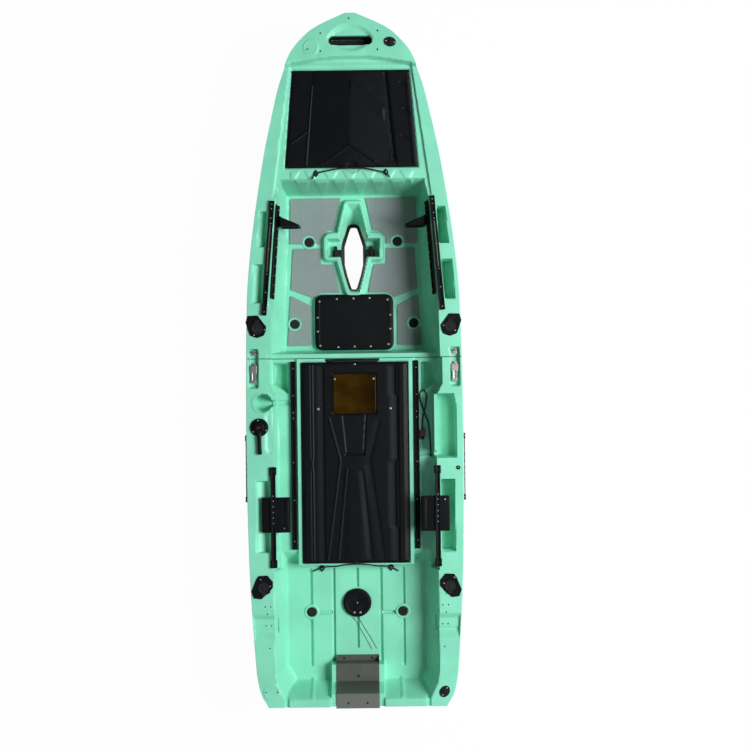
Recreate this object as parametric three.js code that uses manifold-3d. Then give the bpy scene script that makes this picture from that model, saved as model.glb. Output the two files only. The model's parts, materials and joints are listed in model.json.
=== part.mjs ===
// A two-section sit-on-top pedal kayak, in millimetres. +X is starboard, +Y points to the bow, +Z is up.
// The origin lies under the middle of the boat, on the floor that the hull rests on.
// Both hull sections are hollow mouldings, cut by their wells, pockets and hatch openings.
import * as THREE from "three";
import { mergeVertices } from "three/addons/utils/BufferGeometryUtils.js";
import Module from "manifold-3d";

const wasm = await Module();
wasm.setup();

// Overall sizes
const bowLength = 1438; // from the bow to the joint between the sections
const sternLength = 1462; // from that joint to the stern
const hullLength = bowLength + sternLength;
const beam = 922;
const hullDepth = 330;
const bowRaise = 22;
const wall = 5;
const bracketOverhang = 8;
const sectionGap = 0.6;
const seat = 0.3; // the gap that is left between pieces that lie on each other
const overrun = 2; // how far a cut runs past a face
const running = 0.6; // clearance round a piece that turns or lifts
const bowY = (hullLength + bracketOverhang) / 2;
const seam = bowLength; // distance of the joint between the sections from the bow

// Places along the bow section, ahead of the joint
const aheadOfSeam = {
  bulkheadTop: 746,
  bulkheadFoot: 697,
  footwellFront: 658,
  footwellAft: 188,
  cockpitEnd: 20,
  driveRim: 675,
  driveKeel: 583,
  frontScupper: 508,
  middleScupper: 152,
  deckPlate: 278,
  frontPad: 685,
  middlePad: 480,
  rearPad: 280,
  frontPocket: 616,
  middlePocket: 394,
  trackFore: 660,
  trackAft: 182,
  braceTrackFore: 648,
  braceTrackAft: 254,
  footPedal: 580,
  rodHolder: 127,
  latchRecess: 42,
  keeper: 34,
};
// Places along the stern section, behind the joint
const behindSeam = {
  platformStep: 107,
  centreHatch: 17,
  cornerPocket: 18,
  tray: 154,
  cup: 187,
  steering: 287,
  rail: 12,
  latchRecess: 123,
  latchPivot: 34,
  latchBase: 18,
};
// Places along the stern section, ahead of the stern
const aheadOfStern = {
  platformEnd: 582,
  rearScupper: 373,
  rearPocket: 950,
  roundHatch: 412,
  rearTrack: 1009,
  sidePlate: 882,
  rodHolder: 504,
  drain: 62,
  tankwellEnd: 155,
  tankwellAft: 24,
  pedestalEnd: 85,
  bracket: 210,
  sideHandle: 997,
};

// Hull form. Each row is a share of the length from the bow and a share of the half beam.
const planShares = [
  [0, 0.046],
  [0.006, 0.132],
  [0.012, 0.223],
  [0.02, 0.323],
  [0.029, 0.406],
  [0.052, 0.542],
  [0.07, 0.594],
  [0.077, 0.61],
  [0.104, 0.67],
  [0.139, 0.722],
  [0.174, 0.772],
  [0.209, 0.818],
  [0.279, 0.889],
  [0.348, 0.946],
  [0.418, 0.983],
  [0.627, 1],
  [0.767, 0.987],
  [0.836, 0.972],
  [0.906, 0.946],
  [0.9755, 0.913],
  [1, 0.82],
];
// Half a cross-section from the keel to the gunwale: shares of the half beam and of the depth.
const sectionShares = [
  [0.16, 0],
  [0.29, 0.1],
  [0.41, 0.1],
  [0.55, 0],
  [0.76, 0],
  [0.9, 0.12],
  [0.97, 0.36],
  [1, 0.64],
  [1, 0.9],
  [0.985, 1],
];
const stemLength = 1000; // how far aft the bow keeps a fine section
const stemFineShare = 0.75;
const stemPower = 1.5;
const bowRocker = 190;
const bowRockerLength = 900;
const sternRocker = 24;
const sternRockerLength = 450;
const bowBlockEnd = 190; // the raised bow deck ends here, in a step of this length
const bowStep = 34;

// Levels of the deck
const platformZ = 240;
const cockpitZ = 120;
const tankwellZ = 190;

// Side decks: the inner edge of the side deck, as distance from the centreline and from the bow
const bulkheadTop = seam - aheadOfSeam.bulkheadTop;
const bulkheadFoot = seam - aheadOfSeam.bulkheadFoot;
const bulkheadHalf = 300;
const footwellFront = seam - aheadOfSeam.footwellFront;
const footwellFrontHalf = 318;
const footwellAft = seam - aheadOfSeam.footwellAft;
const footwellAftHalf = 352;
const seamHalf = 358;
const platformStep = seam + behindSeam.platformStep;
const platformHalf = 330;
const platformStepRun = 50;
const platformEndHalf = 322;
const platformEnd = hullLength - aheadOfStern.platformEnd;
const cockpitEnd = seam - aheadOfSeam.cockpitEnd;
const cockpitFloorHalfFront = 286;
const cockpitFloorHalfAft = 300;
const cockpitWallRun = 14;

// Pedal drive well, through the hull: rows are shares of its half width and of its length
const driveRimStart = seam - aheadOfSeam.driveRim;
const driveRimLength = 390;
const driveRimHalf = 118;
const driveRimShares = [
  [0.27, 0],
  [0.51, 0.3],
  [1, 0.387],
  [1, 0.61],
  [0.59, 0.71],
  [0.22, 1],
];
const driveKeelStart = seam - aheadOfSeam.driveKeel;
const driveKeelLength = 276;
const driveKeelHalf = 41;
const driveKeelShares = [
  [0.34, 0],
  [0.68, 0.156],
  [1, 0.308],
  [1, 0.6],
  [0.73, 0.78],
  [0.27, 1],
];
const driveRimWidth = 18;
const driveRimHeight = 30;

// Scuppers: half spacing x and distance d from the bow
const scuppers = {
  front: { x: 192, d: seam - aheadOfSeam.frontScupper },
  middle: { x: 259, d: seam - aheadOfSeam.middleScupper },
  rear: { x: 196, d: hullLength - aheadOfStern.rearScupper },
};
const scupperRadius = 18;
const scupperRingRadius = 32;
const plugHeadRadius = 20.5;
const plugHeadHeight = 5;
const plugDepth = 34;
const plugTaper = 3;

// Bow grip
const gripWidth = 184;
const gripStart = 95;
const gripLength = 38;
const gripDepth = 62;
const gripDishHalf = 102;
const gripDishStart = 42;
const gripDishLength = 122;
const gripDishDepth = 6;

// Front hatch
const frontHatchStart = 232;
const hatchToBulkhead = 52;
const frontHatchLength = bulkheadTop - hatchToBulkhead - frontHatchStart;
const frontHatchHalfFront = 245;
const frontHatchHalfAft = 279;
const frontHatchThickness = 13;
const frontHatchSkin = 5;
const frontHatchCrest = 9;
const frontHatchBed = 16;
const frontHatchLip = 32;
const frontHatchCorner = 14;
const crestStartShare = 0.1;
const crestForkShare = 0.8;
const crestEndShare = 0.95;
const crestFootShare = 0.85;
const crestTopShare = 0.25;
const crestNoseShare = 0.1;
const hatchPintleRadius = 4;
const hatchPintleLength = 4.5;
const fingerNotchRadius = 42;
const fingerNotchRun = 24;

// Centre hatch
const centreHatchStart = seam + behindSeam.centreHatch;
const hatchToTankwell = 9;
const centreHatchLength = platformEnd - hatchToTankwell - centreHatchStart;
const centreHatchHalf = 226;
const centreHatchThickness = 20;
const centreHatchSkin = 7;
const centreHatchCorner = 16;
const centreHatchLip = 26;
const centreRibHeight = 6;
const centreRibWidth = 22;
const centreRibLengthShare = 0.9;
const centreRibShares = [-0.72, -0.5, 0.5, 0.72];
const coamingWidth = 20;
const coamingHeight = 10;
const windowHalf = 91;
const windowInset = 50;
const windowStart = centreHatchStart + windowInset;
const windowLength = 168;
const windowThickness = 3;

// Deck plate in the footwell
const deckPlateHalf = 171;
const deckPlateStart = seam - aheadOfSeam.deckPlate;
const deckPlateLength = 242;
const deckPlateThickness = 8;
const deckPlateCorner = 37;
const deckPlateRaise = 12;
const deckPlateLip = 30;

// Footwell pads on one side: rows are shares of the half width and of the length
const padThickness = 5;
const padMargin = 8;
const pads = {
  front: {
    start: seam - aheadOfSeam.frontPad,
    length: 185,
    half: 278,
    shares: [
      [0.18, 0],
      [0.18, 1],
      [1, 1],
      [0.98, 0],
    ],
  },
  middle: {
    start: seam - aheadOfSeam.middlePad,
    length: 218,
    half: 276,
    shares: [
      [0.51, 0],
      [0.49, 0.275],
      [0.32, 0.29],
      [0.22, 0.9],
      [0.48, 0.91],
      [0.61, 1],
      [1, 0.817],
      [0.957, 0],
    ],
  },
  rear: {
    start: seam - aheadOfSeam.rearPad,
    length: 222,
    half: 292,
    shares: [
      [0.64, 0.21],
      [0.64, 0.99],
      [1, 1],
      [0.952, 0],
    ],
  },
};

// Side deck pockets: rows are shares of the outer edge's place and of the length
const sidePocketDepth = 60;
const frontPocketLength = 150;
const frontPocketOuter = 400;
const middlePocketLength = 162;
const middlePocketOuter = 424;
const sidePockets = [
  {
    start: seam - aheadOfSeam.frontPocket,
    length: frontPocketLength,
    half: frontPocketOuter,
    shares: [
      [0.91, 0],
      [0.91, 1],
      [1, 1],
      [0.97, 0],
    ],
  },
  {
    start: seam - aheadOfSeam.middlePocket,
    length: middlePocketLength,
    half: middlePocketOuter,
    shares: [
      [0.896, 0],
      [0.925, 1],
      [1, 1],
      [0.976, 0],
    ],
  },
];
const rearPocketStart = hullLength - aheadOfStern.rearPocket;
const rearPocketLength = 302;
const rearPocketInner = 360;
const rearPocketOuter = 416;
const rearPocketDepth = 80;
const cornerPocketStart = seam + behindSeam.cornerPocket;
const cornerPocketLength = 134;
const cornerPocketSlant = 47;
const cornerPocketInner = 282;
const cornerPocketOuter = 348;
const cornerPocketDepth = 50;
const pocketCorner = 10;

// Starboard tray and the cable channel beside it
const trayStart = seam + behindSeam.tray;
const trayLength = 266;
const trayInner = 346;
const trayOuter = 424;
const trayCutLength = 48;
const trayCutWidth = 10;
const trayDepth = 55;
const trayGateLength = 24;
const channelHalf = 8;
const channelDepth = 7;
const channelStart = 252;

// Cup holder, port
const cupX = 378;
const cupY = seam + behindSeam.cup;
const cupRadius = 42;
const cupDepth = 85;
const cupSlotHalf = 12;
const cupSlotDepth = 66;

// Tankwell
const tankwellHalf = 345;
const tankwellFloorHalf = 303;
const tankwellEnd = hullLength - aheadOfStern.tankwellEnd;
const tankwellAft = hullLength - aheadOfStern.tankwellAft;
const tankwellAftRun = 10;
const pedestalHalf = 112;
const pedestalZ = 240;
const pedestalEnd = hullLength - aheadOfStern.pedestalEnd;
const transomSlope = 35;
const transomSaddleZ = 318;

// Round hatch in the tankwell
const roundHatchY = hullLength - aheadOfStern.roundHatch;
const roundHatchRadius = 61;
const roundHatchNeck = 50;
const roundHatchBore = 42;
const roundHatchHeight = 9;
const roundHatchDepth = 18;
const roundLidHeight = 6;

// Gear tracks
const trackWidth = 21;
const trackHeight = 13;
const trackSlot = 8;
const trackSlotDepth = 3.5;
const frontTrackFore = { x: 334, d: seam - aheadOfSeam.trackFore };
const frontTrackAft = { x: 374, d: seam - aheadOfSeam.trackAft };
const rearTrackX = 344;
const rearTrackStart = hullLength - aheadOfStern.rearTrack;
const rearTrackLength = 423;
const rearTrackFoot = 34;
const trackFootWidth = 29;
const trackFootHeight = 9;
const sidePlateX = 333;
const sidePlateWidth = 120;
const sidePlateStart = hullLength - aheadOfStern.sidePlate;
const sidePlateLength = 148;
const sidePlateThickness = 5;
const sidePlateCorner = 8;

// Seat rails
const railX = 262;
const railWidth = 22;
const railHeight = 14;
const railStart = seam + behindSeam.rail;
const railToTankwell = 66;
const railEnd = platformEnd - railToTankwell;

// Foot braces
const braceTrackStart = seam - aheadOfSeam.braceTrackFore;
const braceTrackEnd = seam - aheadOfSeam.braceTrackAft;
const braceTrackThickness = 11;
const braceTrackHeight = 24;
const braceZ = 268;
const footPedalAt = seam - aheadOfSeam.footPedal;
const footPedalReach = 82;
const footPedalRoot = 46;
const footPedalTip = 14;
const footPedalAbove = 29;
const footPedalBelow = 60;
const footPedalBlock = 10;

// Rod holders: centres, half spacing and distance from the bow
const rodHolders = {
  front: { x: 404, d: seam - aheadOfSeam.rodHolder, turn: 1 },
  rear: { x: 390, d: hullLength - aheadOfStern.rodHolder, turn: -1 },
};
// The flange's outline round its bore, port front, as shares of its half length: outboard and aft
const rodFlangeHalf = 49;
const rodFlangeShares = [
  [-0.82, -0.53],
  [-0.67, -1],
  [-0.16, -1],
  [0.86, 0.16],
  [0.73, 0.65],
  [0.12, 1],
  [-0.53, 0.94],
  [-0.78, 0.41],
];
const rodFlangeThickness = 5;
const rodTubeOuter = 26;
const rodTubeInner = 21.5;
const rodTubeLength = 150;
const rodTubeBottom = 3;
const capRadius = 24;
const capThickness = 5;
const capPinRadius = 3;
const capPinHalf = 9;
const capHingeAt = 31;

// Latches across the joint between the sections
const latchX = 422;
const latchRecessHalf = 21;
const latchRecessStart = seam - aheadOfSeam.latchRecess;
const latchRecessEnd = seam + behindSeam.latchRecess;
const latchRecessDepth = 22;
const latchPlate = 2.5;
const keeperHalf = 11;
const keeperStart = seam - aheadOfSeam.keeper;
const keeperLength = 20;
const keeperWall = 3;
const latchPivot = seam + behindSeam.latchPivot;
const latchPivotHeight = 11;
const baseStart = seam + behindSeam.latchBase;
const baseLength = 40;
const baseHalf = 10;
const earThickness = 2.5;
const leverHalf = 14;
const leverSkin = 2.5;
const leverLength = 68;
const leverCheekLength = 26;
const leverCheekHeight = 12;
const pivotPinRadius = 2.5;
const bailWire = 1.75;
const bailOffset = 12;
const bailHalf = 17;

// Steering lever, port
const steeringX = 399;
const steeringY = seam + behindSeam.steering;
const steeringBaseRadius = 38;
const steeringBaseHeight = 8;
const steeringHubRadius = 22;
const steeringHubHeight = 13;
const steeringArmLength = 120;
const steeringArmWidth = 20;
const steeringArmHeight = 10;
const steeringShaftRadius = 7;
const steeringShaftDepth = 44;
const steeringDrumRadius = 16;
const steeringDrumHeight = 12;

// Drain plugs
const bowDrain = { x: 166, d: 123 };
const sternDrain = { x: 364, d: hullLength - aheadOfStern.drain };
const drainHalfLength = 25;
const drainHalfWidth = 20;
const drainHeight = 9;
const drainStem = 11;
const drainStemDepth = 24;

// Stern bracket
const bracketWidth = 182;
const bracketStart = hullLength - aheadOfStern.bracket;
const bracketThickness = 3;
const bracketHole = 5;
const bracketHoleInset = 24;
const bracketFrontHoleX = 60;
const bracketRearHoleX = 40;

// Side handles
const handleY = hullLength - aheadOfStern.sideHandle;
const handleHalf = 142;
const handleHeight = 26;
const handleStrap = 4;
const handleGap = 6;
const handleEnd = 24;
const handleZ = 250;

// Bungees and power cable
const bungeeRadius = 3;
const cableRadius = 2.5;
const cableOutletX = 321;
const cableOutletY = 1860;
const cableOutletHalf = 8;
const cableOutletHeight = 12;
const connectorHalf = 10;
const connectorLength = 27;
const connectorHeight = 16;
const connectorNoseHalf = 7;
const connectorNose = 14;
const connectorNoseHeight = 10;
const cordSides = 8;

// Routes of the cords: sideways place, distance from the bow and height
const shelfLie = hullDepth + seat + bungeeRadius;
const coamingLie = platformZ + coamingHeight + seat + bungeeRadius;
const tankwellLie = tankwellZ + seat + bungeeRadius;
const platformLie = platformZ + seat * 2 + cableRadius;
const frontBungee = [
  [-168, 690, shelfLie],
  [-150, 668, shelfLie],
  [-100, 654, shelfLie],
  [-50, 646, shelfLie],
  [0, 645, shelfLie],
  [50, 646, shelfLie],
  [98, 654, shelfLie],
  [146, 668, shelfLie],
  [160, 684, shelfLie],
];
const centreFrontBungee = [
  [-120, 1442, coamingLie],
  [-104, 1448, coamingLie],
  [-50, 1451, coamingLie],
  [0, 1449, coamingLie],
  [50, 1451, coamingLie],
  [92, 1448, coamingLie],
  [104, 1442, coamingLie],
];
const centreRearBungee = [
  [-190, 2352, tankwellLie],
  [-152, 2336, 202],
  [-128, 2328, 226],
  [-90, 2323, 250],
  [-50, 2316, 256],
  [0, 2313.5, 254],
  [50, 2316, 256],
  [90, 2323, 250],
  [126, 2328, 226],
  [148, 2336, 202],
  [178, 2354, tankwellLie],
];
const powerCable = [
  [321, 1859.5, 246],
  [321, 1846, 246],
  [320, 1820, platformLie],
  [317, 1770, platformLie],
  [311, 1715, platformLie],
  [300, 1685, platformLie],
  [291, 1660, platformLie],
  [283, 1635, platformLie],
  [278, 1612, platformLie],
  [278, 1594, platformLie],
  [283, 1582, platformLie],
  [291, 1577, platformLie],
  [299, 1582, platformLie],
  [304, 1594, platformLie],
  [305, 1612, platformLie],
  [302, 1635, 245],
  [298, 1655, 248.5],
  [292, 1678, 248.5],
  [288, 1700, platformLie],
  [286, 1722, platformLie],
  [286, 1745, platformLie],
];

// Roundness of the facets
const roundSides = 20;
const smallSides = 12;
const cornerSteps = 2;

// A place along the boat, from its distance to the bow.
const at = (distance) => bowY - distance;

// A closed three.js geometry as a solid that can be cut and joined.
function solid(geometry) {
  const bare = geometry.clone();
  bare.deleteAttribute("normal");
  bare.deleteAttribute("uv");
  const merged = mergeVertices(bare);
  return new wasm.Manifold(
    new wasm.Mesh({
      numProp: 3,
      vertProperties: new Float32Array(merged.attributes.position.array),
      triVerts: new Uint32Array(merged.index.array),
    }),
  );
}

// A solid as a three.js geometry.
function geometryOf(body) {
  const mesh = body.getMesh();
  const geometry = new THREE.BufferGeometry();
  geometry.setAttribute("position", new THREE.BufferAttribute(new Float32Array(mesh.vertProperties), 3));
  geometry.setIndex(new THREE.BufferAttribute(new Uint32Array(mesh.triVerts), 1));
  geometry.computeVertexNormals();
  return geometry;
}

// Rows of shares as half widths and distances from the bow.
function placedRows(shares, start, length, half) {
  return shares.map(([across, along]) => [half * across, start + length * along]);
}

// Both halves of an outline that is given as half widths and distances from the bow, from front to back.
function mirrored(half) {
  const starboard = half.map(([x, d]) => [x, at(d)]).reverse();
  const port = half.map(([x, d]) => [-x, at(d)]);
  return [...starboard, ...port];
}

// An outline on one side of the boat: side is 1 for starboard and -1 for port.
function oneSide(points, side) {
  const placed = points.map(([x, d]) => [side * x, at(d)]);
  return turningLeft(placed);
}

// The same outline, with its points in anticlockwise order.
function turningLeft(points) {
  const vectors = points.map(([x, y]) => new THREE.Vector2(x, y));
  return THREE.ShapeUtils.area(vectors) < 0 ? [...points].reverse() : points;
}

function rectangle(x0, x1, y0, y1) {
  return turningLeft([
    [x0, y0],
    [x1, y0],
    [x1, y1],
    [x0, y1],
  ]);
}

function circle(x, y, radius, sides = roundSides) {
  return Array.from({ length: sides }, (_, i) => {
    const angle = (i / sides) * 2 * Math.PI;
    return [x + radius * Math.cos(angle), y + radius * Math.sin(angle)];
  });
}

// An outline whose corners are rounded, in a few steps each.
function rounded(points, radius, steps = cornerSteps) {
  const out = [];
  const count = points.length;
  for (let i = 0; i < count; i++) {
    const corner = new THREE.Vector2(...points[i]);
    const before = new THREE.Vector2(...points[(i + count - 1) % count]);
    const after = new THREE.Vector2(...points[(i + 1) % count]);
    const cut = Math.min(radius, corner.distanceTo(before) / 3, corner.distanceTo(after) / 3);
    const start = corner.clone().lerp(before, cut / corner.distanceTo(before));
    const end = corner.clone().lerp(after, cut / corner.distanceTo(after));
    const arc = new THREE.QuadraticBezierCurve(start, corner, end);
    out.push(...arc.getPoints(steps).map((p) => [p.x, p.y]));
  }
  return out;
}

// An outline grown outwards by a distance, each corner along its mitre.
function grown(points, by) {
  const count = points.length;
  return points.map((point, i) => {
    const here = new THREE.Vector2(...point);
    const before = new THREE.Vector2(...points[(i + count - 1) % count]);
    const after = new THREE.Vector2(...points[(i + 1) % count]);
    const into = here.clone().sub(before).normalize();
    const out = after.clone().sub(here).normalize();
    const normal = new THREE.Vector2(into.y + out.y, -into.x - out.x).normalize();
    const share = Math.max(0.5, normal.x * into.y - normal.y * into.x);
    return [here.x + (normal.x * by) / share, here.y + (normal.y * by) / share];
  });
}

// A straight-sided block on an outline, between two heights.
function prism(outline, low, high) {
  const shape = new THREE.Shape(outline.map(([x, y]) => new THREE.Vector2(x, y)));
  const geometry = new THREE.ExtrudeGeometry(shape, { depth: high - low, bevelEnabled: false });
  geometry.translate(0, 0, low);
  return solid(geometry);
}

// A closed skin through rings with the same number of points. Every ring turns left seen from its far end.
function skin(rings) {
  const count = rings[0].length;
  const positions = rings.flat(2);
  const index = [];
  for (let r = 0; r + 1 < rings.length; r++) {
    for (let i = 0; i < count; i++) {
      const a = r * count + i;
      const b = r * count + ((i + 1) % count);
      index.push(a, b, b + count, a, b + count, a + count);
    }
  }
  const last = (rings.length - 1) * count;
  for (const [first, flip] of [
    [0, true],
    [last, false],
  ]) {
    const ring = rings[first / count];
    for (const face of capFaces(ring)) {
      const [a, b, c] = face.map((i) => first + i);
      index.push(...(flip ? [a, c, b] : [a, b, c]));
    }
  }
  const geometry = new THREE.BufferGeometry();
  geometry.setAttribute("position", new THREE.Float32BufferAttribute(positions, 3));
  geometry.setIndex(index);
  return solid(geometry);
}

// Triangles over a flat ring that lies level or across the boat.
function capFaces(ring) {
  const level = ring.every((p) => p[2] === ring[0][2]);
  const flat = ring.map((p) => new THREE.Vector2(p[0], level ? p[1] : p[2]));
  return THREE.ShapeUtils.triangulateShape(flat, []);
}

// A block whose outline changes from its foot to its top.
function drafted(foot, top, low, high) {
  return skin([foot.map(([x, y]) => [x, y, low]), top.map(([x, y]) => [x, y, high])]);
}

// A block with the outline of a side view, in distances from the bow and heights.
function sideProfile(points, left, right) {
  const shape = new THREE.Shape(points.map(([d, z]) => new THREE.Vector2(at(d), z)));
  const geometry = new THREE.ExtrudeGeometry(shape, { depth: right - left, bevelEnabled: false });
  geometry.rotateX(Math.PI / 2);
  geometry.rotateZ(Math.PI / 2);
  geometry.translate(left, 0, 0);
  return solid(geometry);
}

// An upright disc or post.
function post(x, y, radius, low, high, sides = roundSides, topRadius = radius) {
  const geometry = new THREE.CylinderGeometry(topRadius, radius, high - low, sides);
  geometry.rotateX(Math.PI / 2);
  geometry.translate(x, y, (low + high) / 2);
  return solid(geometry);
}

// A pin that lies across the boat.
function crossPin(x, y, z, radius, length, sides = smallSides) {
  const geometry = new THREE.CylinderGeometry(radius, radius, length, sides);
  geometry.rotateZ(Math.PI / 2);
  geometry.translate(x, y, z);
  return solid(geometry);
}

function box(x0, x1, y0, y1, z0, z1) {
  const geometry = new THREE.BoxGeometry(Math.abs(x1 - x0), Math.abs(y1 - y0), Math.abs(z1 - z0));
  geometry.translate((x0 + x1) / 2, (y0 + y1) / 2, (z0 + z1) / 2);
  return solid(geometry);
}

// A round cord along a smooth curve through its points.
function cord(points, radius, sides, steps) {
  const curve = new THREE.CatmullRomCurve3(
    points.map((p) => new THREE.Vector3(...p)),
    false,
    "centripetal",
  );
  const shape = new THREE.Shape(circle(0, 0, radius, sides).map(([x, y]) => new THREE.Vector2(x, y)));
  return solid(new THREE.ExtrudeGeometry(shape, { steps, extrudePath: curve, bevelEnabled: false }));
}

const joined = (bodies) => bodies.reduce((all, body) => all.add(body));
const cutBy = (body, cuts) => cuts.reduce((rest, cut) => rest.subtract(cut), body);

// Materials, one for each finish
function finish(color, roughness, metalness = 0) {
  return new THREE.MeshStandardMaterial({ color, roughness, metalness });
}
const hullGreen = finish(0x82deba, 0.5);
const blackPlastic = finish(0x15171a, 0.55);
const blackRubber = finish(0x101214, 0.85);
const padFoam = finish(0x87948f, 0.9);
const brushedSteel = finish(0x9aa09c, 0.35, 1);
const brushedAluminium = finish(0x6f7672, 0.45, 1);
const smokedAmber = finish(0x4a3208, 0.2);
const connectorRed = finish(0x6e0f28, 0.5);
const braidBlack = finish(0x0e1012, 0.8);

const boat = new THREE.Group();
function piece(name, body, material) {
  const mesh = new THREE.Mesh(geometryOf(body), material);
  mesh.name = name;
  boat.add(mesh);
}
const sides = { port: -1, starboard: 1 };

// Half beam at a distance from the bow, by straight lines between the rows of the plan.
function halfBeamAt(distance) {
  const share = distance / hullLength;
  const next = Math.max(1, planShares.findIndex(([s]) => s >= share));
  const [s0, b0] = planShares[next - 1];
  const [s1, b1] = planShares[next];
  return (beam / 2) * (b0 + ((b1 - b0) * (share - s0)) / (s1 - s0));
}

const falling = (length, distance) => Math.max(0, 1 - distance / length);

function keelAt(distance) {
  const fromStern = hullLength - distance;
  const bowRise = bowRocker * falling(bowRockerLength, distance) ** 2;
  const sternRise = sternRocker * falling(sternRockerLength, fromStern) ** 2;
  return bowRise + sternRise;
}

function deckAt(distance) {
  return hullDepth + bowRaise * THREE.MathUtils.clamp((bowBlockEnd + bowStep - distance) / bowStep, 0, 1);
}

// A ring of the hull at a distance from the bow, drawn in from the outer skin.
function hullRing(distance, inset) {
  const half = halfBeamAt(distance) - inset;
  const low = keelAt(distance) + inset;
  const high = deckAt(distance) - inset;
  const fine = stemFineShare * falling(stemLength, distance) ** stemPower;
  const starboard = sectionShares.map(([across, up]) => [
    half * across * (1 - fine * (1 - up) ** stemPower),
    at(distance),
    low + (high - low) * up,
  ]);
  const port = starboard.map(([x, y, z]) => [-x, y, z]).reverse();
  return [...starboard, ...port];
}

// The hull's form between two places, with a ring at every row of the plan between them.
function hullForm(start, end, inset) {
  const rows = [...planShares.map(([s]) => s * hullLength), bowBlockEnd, bowBlockEnd + bowStep];
  const between = rows.filter((d) => d > start + wall && d < end - wall).sort((a, b) => a - b);
  return skin([start, ...between, end].map((d) => hullRing(d, inset)));
}

// A hollow cut down from the deck: the cut itself, and the room that its moulded wall takes inside.
function hollow(outline, floor, top = hullDepth + bowRaise + overrun) {
  return {
    cut: prism(outline, floor, top),
    room: prism(grown(outline, wall), floor - wall, top),
  };
}

// A hollow whose walls lean in towards its floor.
function leaning(foot, head, floor, top) {
  return {
    cut: drafted(foot, head, floor, top),
    room: drafted(grown(foot, wall), grown(head, wall), floor - wall, top),
  };
}

// A round or shaped hole that runs right down through the hull inside its own tube.
function through(foot, head, top) {
  return {
    cut: drafted(foot, head, -overrun, top),
    room: drafted(grown(foot, wall), grown(head, wall), -overrun, top),
  };
}

const deckTop = hullDepth + bowRaise + overrun;

// Outlines that several pieces share
const footwellRim = mirrored([
  [bulkheadHalf, bulkheadTop],
  [footwellFrontHalf, footwellFront],
  [footwellAftHalf, footwellAft],
  [seamHalf, seam + overrun],
]);
const slopeShare = (hullDepth - platformZ) / (hullDepth - cockpitZ);
const bulkheadAtPlatform = bulkheadTop + (bulkheadFoot - bulkheadTop) * slopeShare;
const footwellShelf = mirrored([
  [bulkheadHalf, bulkheadAtPlatform],
  [footwellFrontHalf, footwellFront],
  [footwellAftHalf, footwellAft],
  [seamHalf, seam + overrun],
]);
const cockpitHead = mirrored([
  [bulkheadHalf, bulkheadAtPlatform],
  [footwellFrontHalf, footwellFront],
  [footwellAftHalf, footwellAft],
  [footwellAftHalf, cockpitEnd],
]);
const cockpitFoot = mirrored([
  [cockpitFloorHalfFront, bulkheadFoot],
  [cockpitFloorHalfFront, footwellFront],
  [cockpitFloorHalfAft, footwellAft],
  [cockpitFloorHalfAft, cockpitEnd - cockpitWallRun],
]);
const driveHead = mirrored(placedRows(driveRimShares, driveRimStart, driveRimLength, driveRimHalf));
const driveFoot = mirrored(placedRows(driveKeelShares, driveKeelStart, driveKeelLength, driveKeelHalf));
const driveRim = grown(driveHead, driveRimWidth);
const frontHatchOutline = mirrored([
  [frontHatchHalfFront, frontHatchStart],
  [frontHatchHalfAft, frontHatchStart + frontHatchLength],
]);
const centreHatchOutline = mirrored([
  [centreHatchHalf, centreHatchStart],
  [centreHatchHalf, centreHatchStart + centreHatchLength],
]);
const deckPlateOutline = mirrored([
  [deckPlateHalf, deckPlateStart],
  [deckPlateHalf, deckPlateStart + deckPlateLength],
]);
const frontHatchFloor = hullDepth - frontHatchBed;
const hingeY = at(frontHatchStart + hatchPintleRadius + running);
const hingeZ = frontHatchFloor + seat + frontHatchThickness - hatchPintleRadius;

function scupperHole({ x, d }, side, floor) {
  return through(
    circle(side * x, at(d), scupperRadius, smallSides),
    circle(side * x, at(d), scupperRadius, smallSides),
    floor + overrun,
  );
}

function latchRecess(side) {
  return hollow(
    rectangle(
      side * latchX - latchRecessHalf,
      side * latchX + latchRecessHalf,
      at(latchRecessStart),
      at(latchRecessEnd),
    ),
    hullDepth - latchRecessDepth,
  );
}

function rodBore(place, side) {
  return post(
    side * place.x,
    at(place.d),
    rodTubeOuter + running,
    hullDepth - wall - overrun,
    deckTop,
    roundSides,
  );
}

function hullSection(start, end, hollows, extras, leftStanding) {
  let outer = hullForm(start, end, 0);
  let inside = hullForm(start + wall, end - wall, wall);
  for (const one of hollows) {
    outer = outer.subtract(one.cut);
    inside = inside.subtract(one.room);
  }
  outer = joined([outer, ...leftStanding]);
  return cutBy(outer.subtract(inside), extras);
}

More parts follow.
